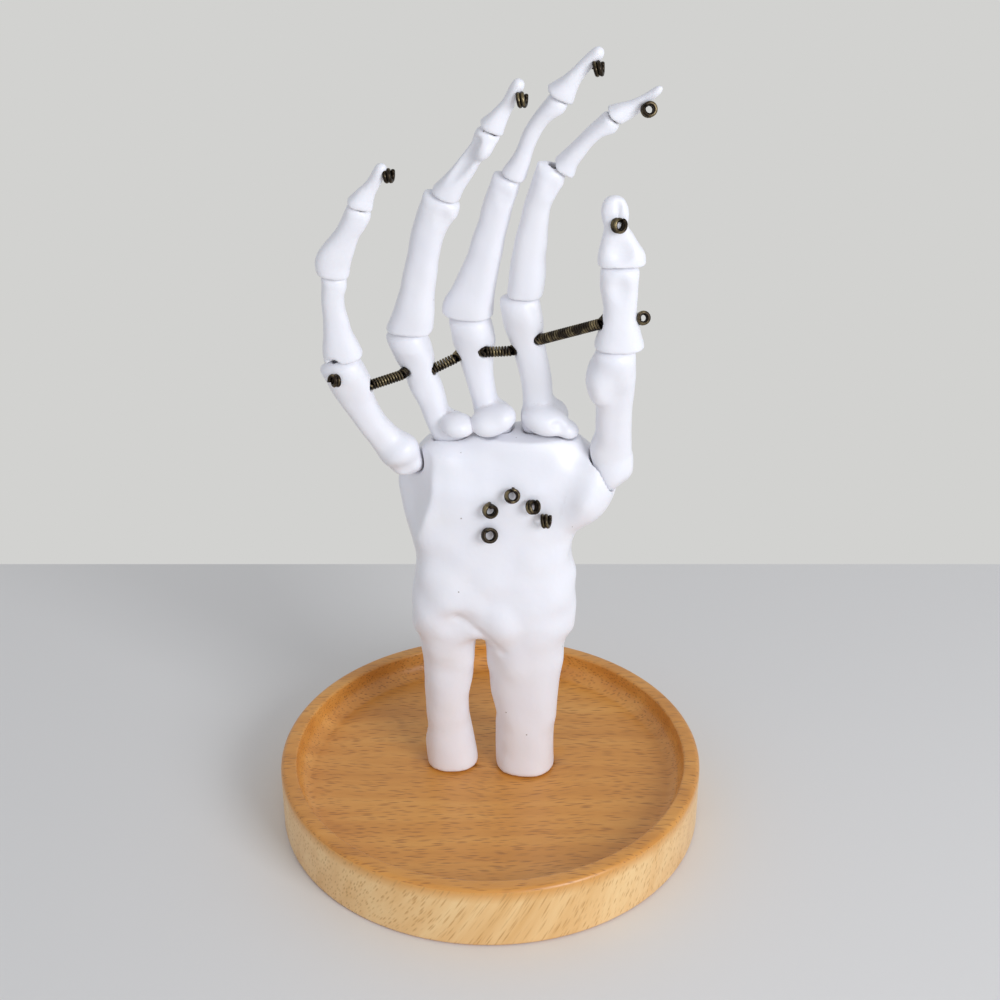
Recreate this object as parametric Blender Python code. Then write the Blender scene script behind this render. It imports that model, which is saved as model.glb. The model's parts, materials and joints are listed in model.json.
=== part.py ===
"""Skeleton hand jewelry holder: a bone hand strung on springs, standing in a round beech tray.

The scene is in metres with +Z up, and the origin is the middle of the tray's underside.
The palm faces -Y and the thumb is on the +X side.
Sizes below are millimetres and degrees, and become metres when an object is made.
"""

import math
from typing import NamedTuple

import bmesh
import bpy
import numpy as np
from mathutils import Vector

METRES = 0.001
WELD_DISTANCE = 0.001

# Beech tray, turned in one piece
TRAY_DIAMETER = 130.0
TRAY_HEIGHT = 20.0
TRAY_WALL = 5.0
WELL_DEPTH = 8.0
WELL_COVE = 5.0
RIM_ROUND = 1.6
FOOT_ROUND = 1.2
TRAY_SIDES = 36

# Fits
SEAT_GAP = 0.3
JOINT_GAP = 0.5
BORE_CLEARANCE = 0.4

# Springs of brass wire
WIRE_DIAMETER = 0.7
FINGER_SPRING_DIAMETER = 3.0
CROSS_SPRING_DIAMETER = 3.2
CROSS_SPRING_PITCH = 1.45
HIDDEN_PITCH = 6.0
LOOP_DIAMETER = 4.2
LOOP_TURNS = 1.75
LOOP_PITCH = 1.2
LOOP_STEM = 1.5
LOOP_START = -60.0
POINTS_PER_CURL = 8
TUBE_ROUNDNESS = 1
FIRST_LOOP_TURN = 60.0
LAST_LOOP_TURN = 95.0
END_STAND_OUT = 0.6
COIL_LINE_STEPS = 8
BORE_LINE_STEPS = 4
FINGER_LINE_STEPS = 2

# Where a finger spring ends inside the tip bone and its loop leaves, as shares of the bone's length
SPRING_END = 0.36
TIP_LOOP_PLACE = 0.65
TIP_LOOP_LEAN = 0.5

# Wood screws that hold the casting's legs down
SCREW_DIAMETER = 3.8
SCREW_HEAD_DIAMETER = 7.4
SCREW_HEAD_HEIGHT = 2.6
SCREW_LENGTH = 30.0
SCREW_TIP = 4.0
SCREW_SUNK = 0.6
SOCKET_ACROSS = 3.0
SOCKET_DEPTH = 1.4
SCREW_SIDES = 16

# Bones: a joint's face as shares of its radius, then the shaft as shares of its length
BONE_SIDES = 12
PULLEY_RISE = 0.22
BALL_FALL = 0.2
CUP_REACH = 0.85
HEAD_REACH = 0.97
FACE_RINGS = (0.55, 0.95)
FOOT_TOP = 0.5
HEAD_START = 0.6
RIM_LIP = 0.5
NECK_SHARE = 0.93
PALMAR_FLAT = 0.9
SHAFT_RINGS = (0.0, 0.25, 0.55, 0.82, 1.0)
BASE_TAPER = 3.0
HEAD_FLARE = 3.0
TIP_START = 0.8
TIP_RINGS = ((0.9, 1.0), (0.97, 0.68))
SHARP_EDGE = 40.0

# Wrist casting: the height of the forearm stubs, how far they reach up into the wrist, and the wrist's own height
FOREARM_HEIGHT = 44.0
FOREARM_LAP = 8.0
WRIST_HEIGHT = 70.0
BODY_SIDES = 16
LEG_SIDES = 12
SEAT_SIDES = 12
PAD_RINGS = 8
BOX_ROUNDING = 0.8


class Bone(NamedTuple):
    """One bone: joint to joint length, its direction, and its widths across and depths front to back."""

    length: float
    lean: float
    tilt: float
    base_width: float
    base_depth: float
    shaft_width: float
    shaft_depth: float
    head_width: float
    head_depth: float


class Finger(NamedTuple):
    """One finger from its seat to its tip. The seat and the spring's way into the palm are measured from the top
    of the wrist casting. Each joint, and the tip's pad, faces the palm side, turned by a flex towards the thumb.
    """

    root: tuple
    bones: dict
    flexes: tuple
    palm_exit: tuple
    palm_inside: tuple
    palm_loop_turn: float
    tip_loop_turn: float


class Section(NamedTuple):
    """A level cut through the casting: how far up its column it lies, as a share, and its four sides."""

    share: float
    left: float
    right: float
    front: float
    back: float


class Crossing(NamedTuple):
    """Where the cross spring goes through a bone: how far below the bone's far joint, and where it enters
    and leaves, across, back and up from the bone's middle there. The finger's own spring passes behind it."""

    finger: str
    bone: str
    below_joint: float
    enters: tuple
    leaves: tuple
    spring_behind: float


FINGERS = {
    "little": Finger(
        root=(-22.5, 2.0, -7.5),
        bones={
            "metacarpal": Bone(35.4, -27.7, 13.1, 13.4, 10.6, 8.8, 8.6, 11.4, 10.8),
            "proximal": Bone(27.1, -3.0, 10.6, 11.4, 9.4, 7.0, 6.4, 7.8, 7.2),
            "middle": Bone(21.6, 20.1, 13.4, 9.2, 7.6, 6.2, 5.6, 6.9, 6.4),
            "distal": Bone(16.3, 28.4, 14.2, 6.8, 6.2, 3.9, 3.6, 4.2, 3.0),
        },
        flexes=(-4.0, -5.0, 5.0, 15.0, 35.0),
        palm_exit=(-0.1, -9.4, -25.4),
        palm_inside=(-5.0, -2.5, -20.5),
        palm_loop_turn=80.0,
        tip_loop_turn=20.0,
    ),
    "ring": Finger(
        root=(-10.6, 6.0, 0.6),
        bones={
            "metacarpal": Bone(29.2, -22.3, 5.9, 11.6, 11.0, 8.2, 8.4, 12.4, 11.4),
            "proximal": Bone(42.0, 13.2, 9.6, 13.4, 10.8, 9.0, 7.8, 10.2, 8.6),
            "middle": Bone(23.4, 31.9, 14.8, 9.0, 8.2, 5.9, 5.8, 6.8, 6.6),
            "distal": Bone(18.4, 27.9, 15.8, 7.2, 6.6, 4.2, 3.9, 4.6, 3.4),
        },
        flexes=(-8.0, -12.0, -8.0, 10.0, 40.0),
        palm_exit=(0.2, -9.4, -17.5),
        palm_inside=(-1.0, -1.0, -13.0),
        palm_loop_turn=25.0,
        tip_loop_turn=15.0,
    ),
    "middle": Finger(
        root=(1.9, 7.0, 3.3),
        bones={
            "metacarpal": Bone(28.8, -12.6, 6.0, 11.8, 11.4, 8.4, 8.6, 12.0, 11.4),
            "proximal": Bone(43.2, 12.4, 9.3, 13.6, 10.8, 9.2, 8.0, 9.2, 8.8),
            "middle": Bone(25.7, 28.7, 13.5, 8.4, 8.2, 5.5, 5.6, 6.4, 6.6),
            "distal": Bone(19.1, 35.0, 15.2, 7.8, 6.8, 4.3, 4.0, 4.6, 3.2),
        },
        flexes=(-12.0, -14.0, -12.0, 10.0, 40.0),
        palm_exit=(6.3, -9.2, -12.7),
        palm_inside=(5.4, -0.8, -8.5),
        palm_loop_turn=20.0,
        tip_loop_turn=15.0,
    ),
    "index": Finger(
        root=(16.0, 6.0, 3.7),
        bones={
            "metacarpal": Bone(36.7, -11.0, 11.0, 14.0, 11.4, 8.6, 8.6, 11.4, 11.2),
            "proximal": Bone(38.5, 10.2, 9.0, 10.6, 10.4, 7.9, 7.4, 9.0, 8.4),
            "middle": Bone(20.4, 41.6, 14.2, 8.0, 7.8, 5.4, 5.4, 6.2, 6.4),
            "distal": Bone(17.1, 52.0, 13.5, 6.6, 6.0, 4.2, 3.4, 4.6, 2.6),
        },
        flexes=(-12.0, -10.0, 5.0, 30.0, 45.0),
        palm_exit=(12.2, -9.2, -16.5),
        palm_inside=(12.4, -0.8, -12.0),
        palm_loop_turn=15.0,
        tip_loop_turn=75.0,
    ),
    "thumb": Finger(
        root=(35.4, -1.0, -6.8),
        bones={
            "metacarpal": Bone(38.2, -3.6, 19.4, 12.6, 11.0, 9.4, 8.6, 12.4, 10.8),
            "proximal": Bone(24.3, -0.1, 7.1, 14.0, 10.6, 8.8, 7.8, 10.8, 8.4),
            "distal": Bone(22.2, -5.0, 5.2, 12.2, 8.0, 6.2, 5.0, 7.4, 4.2),
        },
        flexes=(0.0, 0.0, 0.0, 0.0),
        palm_exit=(15.7, -9.2, -20.6),
        palm_inside=(18.5, -1.0, -17.5),
        palm_loop_turn=5.0,
        tip_loop_turn=15.0,
    ),
}

CROSSINGS = (
    Crossing("little", "metacarpal", 3.4, (-2.6, -4.8, 2.2), (5.4, -0.2, -0.8), 2.0),
    Crossing("ring", "metacarpal", 6.6, (-2.6, -5.0, 0.0), (4.7, -0.8, -0.8), 1.4),
    Crossing("middle", "metacarpal", 5.8, (-4.4, -3.1, -0.8), (1.1, -5.6, 1.3), 0.4),
    Crossing("index", "metacarpal", 9.6, (-4.3, -2.8, -1.6), (1.4, -5.0, 1.8), 0.6),
    Crossing("thumb", "proximal", 13.4, (-5.2, -2.2, -0.4), (4.6, -3.0, 1.8), 1.6),
)

BODY_SECTIONS = (
    Section(0.0, -21.4, 21.8, -4.8, 12.6),
    Section(0.1, -22.4, 23.4, -8.0, 14.6),
    Section(0.229, -23.2, 24.8, -9.2, 16.0),
    Section(0.371, -22.4, 24.9, -8.8, 16.4),
    Section(0.514, -22.6, 24.0, -8.4, 16.8),
    Section(0.643, -24.6, 28.4, -8.6, 17.0),
    Section(0.757, -24.8, 33.4, -8.8, 17.0),
    Section(0.843, -22.4, 34.2, -8.2, 16.4),
    Section(0.929, -17.0, 28.6, -6.0, 15.0),
    Section(1.0, -10.5, 21.5, -1.6, 12.6),
)

ULNA_SECTIONS = (
    Section(0.0, -18.8, -4.0, -1.8, 11.6),
    Section(0.149, -19.5, -5.0, -1.5, 11.4),
    Section(0.458, -19.8, -6.5, -1.5, 11.6),
    Section(0.671, -20.3, -5.4, -2.5, 12.0),
    Section(0.894, -21.8, -3.6, -4.2, 13.0),
    Section(1.0, -20.0, -4.4, -3.4, 12.0),
)

RADIUS_SECTIONS = (
    Section(0.0, 2.0, 20.2, -4.6, 11.6),
    Section(0.265, 1.5, 19.6, -4.0, 11.4),
    Section(0.574, 0.6, 20.9, -4.5, 11.8),
    Section(0.845, -1.0, 22.2, -6.2, 13.0),
    Section(1.0, 0.2, 21.6, -5.6, 12.4),
)

# The swelling at the root of the thumb, as a squashed ball on the casting's shoulder, measured from its top
THUMB_PAD_MIDDLE = (25.0, -2.0, -17.5)
THUMB_PAD_RADII = (9.0, 9.0, 11.0)

WELL_FLOOR = TRAY_HEIGHT - WELL_DEPTH


def from_wrist_top(point):
    """A point measured from the top of the wrist casting, in the part's frame."""
    return Vector((point[0], point[1], point[2] + WELL_FLOOR + FOREARM_HEIGHT + WRIST_HEIGHT))


def material(name, colour, roughness, metallic=0.0):
    """A plain surface finish."""
    finish = bpy.data.materials.new(name)
    finish.use_nodes = True
    shader = finish.node_tree.nodes["Principled BSDF"]
    shader.inputs["Base Color"].default_value = (*colour, 1.0)
    shader.inputs["Roughness"].default_value = roughness
    shader.inputs["Metallic"].default_value = metallic
    return finish


def add_object(name, data, finish, origin=(0, 0, 0)):
    """Link an object whose data is already placed round its origin."""
    body = bpy.data.objects.new(name, data)
    body.location = Vector(origin) * METRES
    body.data.materials.append(finish)
    bpy.context.collection.objects.link(body)
    return body


def mesh_of(name, points, faces, origin=(0, 0, 0)):
    """A smooth shaded mesh, in metres round its origin."""
    mesh = bpy.data.meshes.new(name)
    mesh.from_pydata([(Vector(p) - Vector(origin)) * METRES for p in points], [], faces)
    mesh.shade_smooth()
    mesh.set_sharp_from_angle(angle=math.radians(SHARP_EDGE))
    return mesh


def skin(rings, first_pole, last_pole):
    """Points and faces of a closed skin over rings that each go the same way round."""
    sides = len(rings[0])
    points = [first_pole]
    for ring in rings:
        points.extend(ring)
    points.append(last_pole)
    last = len(points) - 1
    faces = []
    for side in range(sides):
        following = (side + 1) % sides
        faces.append((0, 1 + following, 1 + side))
        for level in range(len(rings) - 1):
            low = 1 + level * sides
            faces.append((low + side, low + following, low + sides + following, low + sides + side))
        top = 1 + (len(rings) - 1) * sides
        faces.append((top + side, top + following, last))
    return points, faces


def angles(sides):
    """Evenly spaced angles round a ring."""
    return [2 * math.pi * side / sides for side in range(sides)]


def turned(name, profile, sides, middle=(0, 0, 0)):
    """A turned mesh from a profile of (radius, height) that starts and ends on the axis, lowest first."""
    rings = []
    for radius, height in profile[1:-1]:
        ring = [Vector((radius * math.cos(a), radius * math.sin(a), height)) for a in angles(sides)]
        rings.append([Vector(middle) + point for point in ring])
    first = Vector(middle) + Vector((0, 0, profile[0][1]))
    last = Vector(middle) + Vector((0, 0, profile[-1][1]))
    points, faces = skin(rings, first, last)
    return mesh_of(name, points, faces)


def arc(middle, radius, start, end, steps):
    """Profile points along a round edge, angles in degrees."""
    points = []
    for step in range(steps + 1):
        angle = math.radians(start + (end - start) * step / steps)
        points.append((middle[0] + radius * math.cos(angle), middle[1] + radius * math.sin(angle)))
    return points


def hidden(body):
    """Mark a cutter, which isn't a piece."""
    body.hide_render = True
    body.display_type = "WIRE"
    return body


def combine(body, other, operation):
    """Join another closed shape to a body, or cut it away."""
    change = body.modifiers.new(f"{operation.lower()} {other.name}", "BOOLEAN")
    change.operation = operation
    change.solver = "EXACT"
    change.object = other


def tube_curve(name, points, radii):
    """A curve object's data: an unbroken tube with its own radius at each point and closed ends."""
    curve = bpy.data.curves.new(name, "CURVE")
    curve.dimensions = "3D"
    curve.bevel_depth = METRES
    curve.bevel_resolution = TUBE_ROUNDNESS
    curve.use_fill_caps = True
    spline = curve.splines.new("POLY")
    spline.points.add(len(points) - 1)
    for spot, point, radius in zip(spline.points, points, radii):
        spot.co = (*(Vector(point) * METRES), 1.0)
        spot.radius = radius
    return curve


def tube_cutter(name, points, radii, finish):
    """A bore along a route, as a mesh that can be cut away."""
    shape = add_object(f"{name}_route", tube_curve(name, points, radii), finish)
    mesh = bpy.data.meshes.new_from_object(shape.evaluated_get(bpy.context.evaluated_depsgraph_get()))
    bpy.data.objects.remove(shape)
    sewn = bmesh.new()
    sewn.from_mesh(mesh)
    bmesh.ops.remove_doubles(sewn, verts=sewn.verts[:], dist=WELD_DISTANCE * METRES)
    bmesh.ops.recalc_face_normals(sewn, faces=sewn.faces[:])
    sewn.to_mesh(mesh)
    sewn.free()
    return hidden(add_object(name, mesh, finish))


def smooth_route(knots, steps):
    """Points on a smooth curve through the knots, as many on each stretch between two of them."""
    spans = [(end - start).length for start, end in zip(knots, knots[1:])]
    slopes = [(knots[1] - knots[0]) / spans[0]]
    for index in range(1, len(knots) - 1):
        slopes.append((knots[index + 1] - knots[index - 1]) / (spans[index - 1] + spans[index]))
    slopes.append((knots[-1] - knots[-2]) / spans[-1])
    points = []
    for index, span in enumerate(spans):
        for step in range(steps):
            t = step / steps
            points.append(
                knots[index] * (1 + 2 * t) * (1 - t) ** 2
                + slopes[index] * span * t * (1 - t) ** 2
                + knots[index + 1] * t * t * (3 - 2 * t)
                + slopes[index + 1] * span * t * t * (t - 1)
            )
    points.append(knots[-1])
    return points


def loop_points(end, along, turn):
    """The wire from a spring's end up into the loop that stands on it and turns about a level axis."""
    along = along.normalized()
    level = Vector((math.cos(math.radians(turn)), math.sin(math.radians(turn)), 0))
    axis = (level - along * level.dot(along)).normalized()
    side = along.cross(axis)
    radius = (LOOP_DIAMETER - WIRE_DIAMETER) / 2
    middle = end + along * (radius + LOOP_STEM) - axis * (LOOP_PITCH * LOOP_TURNS / 2)
    start = math.radians(LOOP_START)
    count = round(LOOP_TURNS * POINTS_PER_CURL)
    points = []
    for step in range(count + 1):
        angle = start + 2 * math.pi * step / POINTS_PER_CURL
        rise = axis * (LOOP_PITCH * step / POINTS_PER_CURL)
        points.append(middle + side * radius * math.cos(angle) + along * radius * math.sin(angle) + rise)
    foot = points[0] - along * ((points[0] - end).dot(along) - WIRE_DIAMETER)
    return [foot, *points]


def least_gap(points, radii):
    """The least gap of bare wire to itself, between points that lie most of a curl or more apart along it."""
    order = np.array([index for index, radius in enumerate(radii) if radius < WIRE_DIAMETER])
    places = np.array([tuple(points[index]) for index in order])
    apart = np.linalg.norm(places[:, None] - places[None], axis=2) - WIRE_DIAMETER
    apart[np.abs(order[:, None] - order[None]) < POINTS_PER_CURL - 1] = np.inf
    return apart.min()


def direction(bone):
    """Which way a bone points: lean is to the thumb side, tilt is to the palm side."""
    lean = math.radians(bone.lean)
    tilt = math.radians(bone.tilt)
    return Vector((math.sin(lean) * math.cos(tilt), -math.sin(tilt), math.cos(lean) * math.cos(tilt)))


class Chain:
    """A finger's joints: their places, the bones' directions and the hinge axes."""

    def __init__(self, finger):
        self.bones = list(finger.bones.values())
        self.ways = [direction(bone) for bone in self.bones]
        self.places = [from_wrist_top(finger.root)]
        for bone, way in zip(self.bones, self.ways):
            self.places.append(self.places[-1] + way * bone.length)
        self.axes = []
        for joint, flex in enumerate(finger.flexes):
            turn = math.radians(flex)
            palm = Vector((math.sin(turn), -math.cos(turn), 0))
            mean = sum(self.ways[max(joint - 1, 0) : joint + 1], Vector())
            self.axes.append(mean.cross(palm).normalized())


class Profile(NamedTuple):
    """The outline of a joint's round face: its radius about the hinge axis, which changes across its width."""

    half_width: float
    radius: float
    rise: float

    def at(self, across):
        """Radius at a place across the joint."""
        share = min(abs(across) / self.half_width, 1.0)
        return self.radius + self.rise * share * share

    def height(self, across, back, gap=0.0):
        """How far the face stands from the hinge axis at a place across and back from the middle."""
        reach = self.at(across) + gap
        return math.sqrt(max(reach * reach - back * back, 0.0))


def head_profile(bone, is_ball):
    """The face at a bone's far end: a ball on a metacarpal, a pulley on a finger bone."""
    radius = bone.head_depth / 2
    rise = -BALL_FALL if is_ball else PULLEY_RISE
    return Profile(bone.head_width / 2, radius, rise * radius)


def root_profile(bone):
    """The round foot of a metacarpal, which rocks in the casting."""
    radius = bone.base_depth / 2
    return Profile(bone.base_width / 2, radius, -BALL_FALL * radius)


class Frame(NamedTuple):
    """Directions at a place along a bone: across the joint, to the back of the hand, and along the bone."""

    across: Vector
    back: Vector
    along: Vector


def frame_on(axis, way):
    """The frame of a joint face: its axis lies across, and it looks along the bone as nearly as it can."""
    along = (way - axis * way.dot(axis)).normalized()
    return Frame(axis, along.cross(axis), along)


def frame_between(first, last, way, share):
    """The frame part of the way along a bone, turning smoothly from one joint to the other."""
    along = first.along * (1 - share) ** 2 + way * 2 * share * (1 - share) + last.along * share**2
    along.normalize()
    across = first.across * (1 - share) + last.across * share
    across = (across - along * across.dot(along)).normalized()
    return Frame(across, along.cross(across), along)


def place(middle, frame, across, back, along):
    """A point in a frame."""
    return middle + frame.across * across + frame.back * back + frame.along * along


def oval(half_width, half_depth, flat=1.0):
    """Places round an oval, with its palm side flattened."""
    spots = []
    for angle in angles(BONE_SIDES):
        back = half_depth * math.sin(angle)
        spots.append((half_width * math.cos(angle), back if back > 0 else back * flat))
    return spots


def face_rings(middle, frame, half_width, half_depth, profile, shares, facing, gap=0.0):
    """Rings on a joint's round face, which stand at shares of its outline."""
    rings = []
    for share in shares:
        ring = []
        for across, back in oval(half_width * share, half_depth * share):
            ring.append(place(middle, frame, across, back, facing * profile.height(across, back, gap)))
        rings.append(ring)
    return rings


def bone_mesh(name, chain, index, cup):
    """A bone's mesh. cup is the round face that it sits on, or None for a metacarpal on its own foot."""
    bone = chain.bones[index]
    way = chain.ways[index]
    start, end = chain.places[index], chain.places[index + 1]
    low = frame_on(chain.axes[index], way)
    high = frame_on(chain.axes[index + 1], way)
    half_width, half_depth = bone.base_width / 2, bone.base_depth / 2
    rings = []
    if cup is None:
        foot = root_profile(bone)
        first_pole = place(start, low, 0, 0, -foot.radius)
        rings += face_rings(start, low, half_width, half_depth * NECK_SHARE, foot, FACE_RINGS, -1)
        first = foot.radius * FOOT_TOP
    else:
        first_pole = place(start, low, 0, 0, cup.height(0, 0, JOINT_GAP))
        rim_depth = min(half_depth, CUP_REACH * (cup.radius + JOINT_GAP))
        rings += face_rings(start, low, half_width, rim_depth, cup, FACE_RINGS, 1, JOINT_GAP)
        lip = []
        for across, back in oval(half_width, rim_depth):
            lip.append(place(start, low, across, back, cup.height(across, back, JOINT_GAP) + RIM_LIP))
        rings.append(lip)
        first = cup.height(half_width, 0, JOINT_GAP) + 2 * RIM_LIP
    is_tip = index == len(chain.bones) - 1
    head = head_profile(bone, cup is None)
    last = bone.length * TIP_START if is_tip else bone.length - head.radius * HEAD_START
    for share in SHAFT_RINGS:
        along = (first + (last - first) * share) / bone.length
        from_base = (1 - share) ** BASE_TAPER
        to_head = share**HEAD_FLARE
        width = bone.shaft_width + (bone.base_width - bone.shaft_width) * from_base
        width += (bone.head_width * NECK_SHARE - bone.shaft_width) * to_head
        depth = bone.shaft_depth + (bone.base_depth - bone.shaft_depth) * from_base
        depth += (bone.head_depth * CUP_REACH - bone.shaft_depth) * to_head
        frame = frame_between(low, high, way, along)
        middle = start.lerp(end, along)
        rings.append([place(middle, frame, x, y, 0) for x, y in oval(width / 2, depth / 2, PALMAR_FLAT)])
    if is_tip:
        for along, share in TIP_RINGS:
            middle = start.lerp(end, along)
            spots = oval(bone.head_width / 2 * share, bone.head_depth / 2 * share)
            rings.append([place(middle, high, x, y, 0) for x, y in spots])
        last_pole = end
    else:
        reach = head.radius * HEAD_REACH
        rings.append([place(end, high, x, y, 0) for x, y in oval(head.half_width, reach)])
        rings += face_rings(end, high, head.half_width, reach, head, reversed(FACE_RINGS), 1)
        last_pole = place(end, high, 0, 0, head.radius)
    points, faces = skin(rings, first_pole, last_pole)
    return mesh_of(name, points, faces, start)


def seat_cutter(name, chain, finish):
    """The hollow in the casting that a metacarpal's foot rocks in."""
    foot = root_profile(chain.bones[0])
    frame = frame_on(chain.axes[0], chain.ways[0])
    reach = foot.half_width + JOINT_GAP
    rings = []
    for share in (-1.0, 0.0, 1.0):
        radius = foot.at(share * reach) + JOINT_GAP
        ring = []
        for angle in angles(SEAT_SIDES):
            ring.append(
                place(chain.places[0], frame, share * reach, radius * math.cos(angle), radius * math.sin(angle))
            )
        rings.append(ring)
    ends = [place(chain.places[0], frame, sign * reach, 0, 0) for sign in (-1, 1)]
    points, faces = skin(rings, ends[0], ends[1])
    return hidden(add_object(name, mesh_of(name, points, faces), finish))


def section_ring(section, height, sides):
    """A rounded box round a level cut, at its height above the well's floor."""
    middle = ((section.left + section.right) / 2, (section.front + section.back) / 2)
    half = ((section.right - section.left) / 2, (section.back - section.front) / 2)
    ring = []
    for angle in angles(sides):
        across = math.copysign(abs(math.cos(angle)) ** BOX_ROUNDING, math.cos(angle))
        back = math.copysign(abs(math.sin(angle)) ** BOX_ROUNDING, math.sin(angle))
        spot = (middle[0] + half[0] * across, middle[1] + half[1] * back, WELL_FLOOR + height)
        ring.append(Vector(spot))
    return ring


def stacked(name, sections, bottom, height, sides):
    """A solid column through level cuts, lowest first, whose bottom is measured from the well's floor."""
    rings = [section_ring(section, bottom + section.share * height, sides) for section in sections]
    poles = [sum(ring, Vector()) / sides for ring in (rings[0], rings[-1])]
    points, faces = skin(rings, poles[0], poles[1])
    return mesh_of(name, points, faces)


def leg_middle(sections):
    """The middle of a leg's foot."""
    foot = sections[0]
    return ((foot.left + foot.right) / 2, (foot.front + foot.back) / 2)


def screw_profile(clearance):
    """A countersunk screw's outline, grown by a clearance, with its head down."""
    shank = SCREW_DIAMETER / 2 + clearance
    head = SCREW_HEAD_DIAMETER / 2 + clearance
    low = SCREW_SUNK - (2 * SCREW_SUNK if clearance else 0)
    neck = SCREW_SUNK + SCREW_HEAD_HEIGHT + clearance
    top = SCREW_SUNK + SCREW_LENGTH + clearance
    return [
        (0, low),
        (head, low),
        (head, SCREW_SUNK + clearance),
        (shank, neck),
        (shank, top - SCREW_TIP),
        (shank / 3, top),
        (0, top),
    ]


def tray_profile():
    """The tray's outline from the middle of its underside, round the rim, to the middle of the well."""
    outer = TRAY_DIAMETER / 2
    inner = outer - TRAY_WALL
    rim = min(RIM_ROUND, TRAY_WALL / 2)
    points = [(0, 0)]
    points += arc((outer - FOOT_ROUND, FOOT_ROUND), FOOT_ROUND, -90, 0, 1)
    points += arc((outer - rim, TRAY_HEIGHT - rim), rim, 0, 90, 2)
    points += arc((inner + rim / 2, TRAY_HEIGHT - rim / 2), rim / 2, 90, 180, 1)
    points += arc((inner - WELL_COVE, WELL_FLOOR + WELL_COVE), WELL_COVE, 0, -90, 3)
    points.append((0, WELL_FLOOR))
    return points


def crossing_points(chains):
    """Where the cross spring enters and leaves each bone, in order from the little finger to the thumb."""
    points = []
    for crossing in CROSSINGS:
        middle = crossing_middle(chains[crossing.finger], crossing)
        points.append(middle + Vector(crossing.enters))
        points.append(middle + Vector(crossing.leaves))
    return points


def crossing_middle(chain, crossing):
    """The middle of a bone where the cross spring goes through it."""
    index = list(FINGERS[crossing.finger].bones).index(crossing.bone)
    return chain.places[index + 1] - chain.ways[index] * crossing.below_joint


def finger_route(name, finger, chain):
    """A finger spring's wire: its points and radii, and how many of them lie inside the hand."""
    knots = [from_wrist_top(finger.palm_exit), from_wrist_top(finger.palm_inside)]
    crossings = {crossing.bone: crossing for crossing in CROSSINGS if crossing.finger == name}
    for index, bone in enumerate(finger.bones):
        knots.append(chain.places[index].copy())
        if bone in crossings:
            frame = frame_on(chain.axes[index + 1], chain.ways[index])
            knots.append(crossing_middle(chain, crossings[bone]) + frame.back * crossings[bone].spring_behind)
    tip = chain.bones[-1]
    way = chain.ways[-1]
    frame = frame_on(chain.axes[-1], way)
    body_end = chain.places[-2] + way * tip.length * SPRING_END
    body = smooth_route([*knots, body_end], FINGER_LINE_STEPS)
    thick = FINGER_SPRING_DIAMETER / 2
    thin = WIRE_DIAMETER / 2
    out = (way * TIP_LOOP_LEAN - frame.back).normalized()
    turn = chain.places[-2] + way * tip.length * TIP_LOOP_PLACE
    surface = turn + out * (tip.shaft_depth / 2 + BORE_CLEARANCE)
    palm_out = body[0] - body[1]
    palm_loop = loop_points(body[0], palm_out, finger.palm_loop_turn)
    tip_loop = loop_points(surface, out, finger.tip_loop_turn)
    neck = body_end + way * WIRE_DIAMETER
    points = [*reversed(palm_loop), *body, neck, turn, surface, *tip_loop]
    radii = [thin] * len(palm_loop) + [thick] * len(body) + [thin] * (3 + len(tip_loop))
    inside = slice(len(palm_loop), len(points) - len(tip_loop))
    return points, radii, inside


def cross_route(chains, steps):
    """The cross spring's centre line, and whether each of its pieces lies in the open."""
    knots = crossing_points(chains)
    first = knots[0] + (knots[0] - knots[1]).normalized() * END_STAND_OUT
    last = knots[-1] + (knots[-1] - knots[-2]).normalized() * END_STAND_OUT
    line = smooth_route([first, *knots, last], steps)
    stretches = [index // steps for index in range(len(line) - 1)]
    is_open = [stretch % 2 == 0 for stretch in stretches]
    return line, is_open


def wound(line, is_open, side):
    """A coil round a centre line, from a given side: close curls in the open, long ones inside the bones."""
    radius = (CROSS_SPRING_DIAMETER - WIRE_DIAMETER) / 2
    step_turn = 2 * math.pi / POINTS_PER_CURL
    points = []
    phase = 0.0
    due = 0.0
    for index, (start, end) in enumerate(zip(line, line[1:])):
        way = (end - start).normalized()
        side = (side - way * side.dot(way)).normalized()
        other = way.cross(side)
        pitch = CROSS_SPRING_PITCH if is_open[index] else HIDDEN_PITCH
        span = 2 * math.pi * (end - start).length / pitch
        while due <= phase + span:
            middle = start.lerp(end, (due - phase) / span)
            points.append(middle + (side * math.cos(due) + other * math.sin(due)) * radius)
            due += step_turn
        phase += span
    return points


def clear_scene():
    """Remove what the scene holds."""
    for body in list(bpy.data.objects):
        bpy.data.objects.remove(body)


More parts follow.
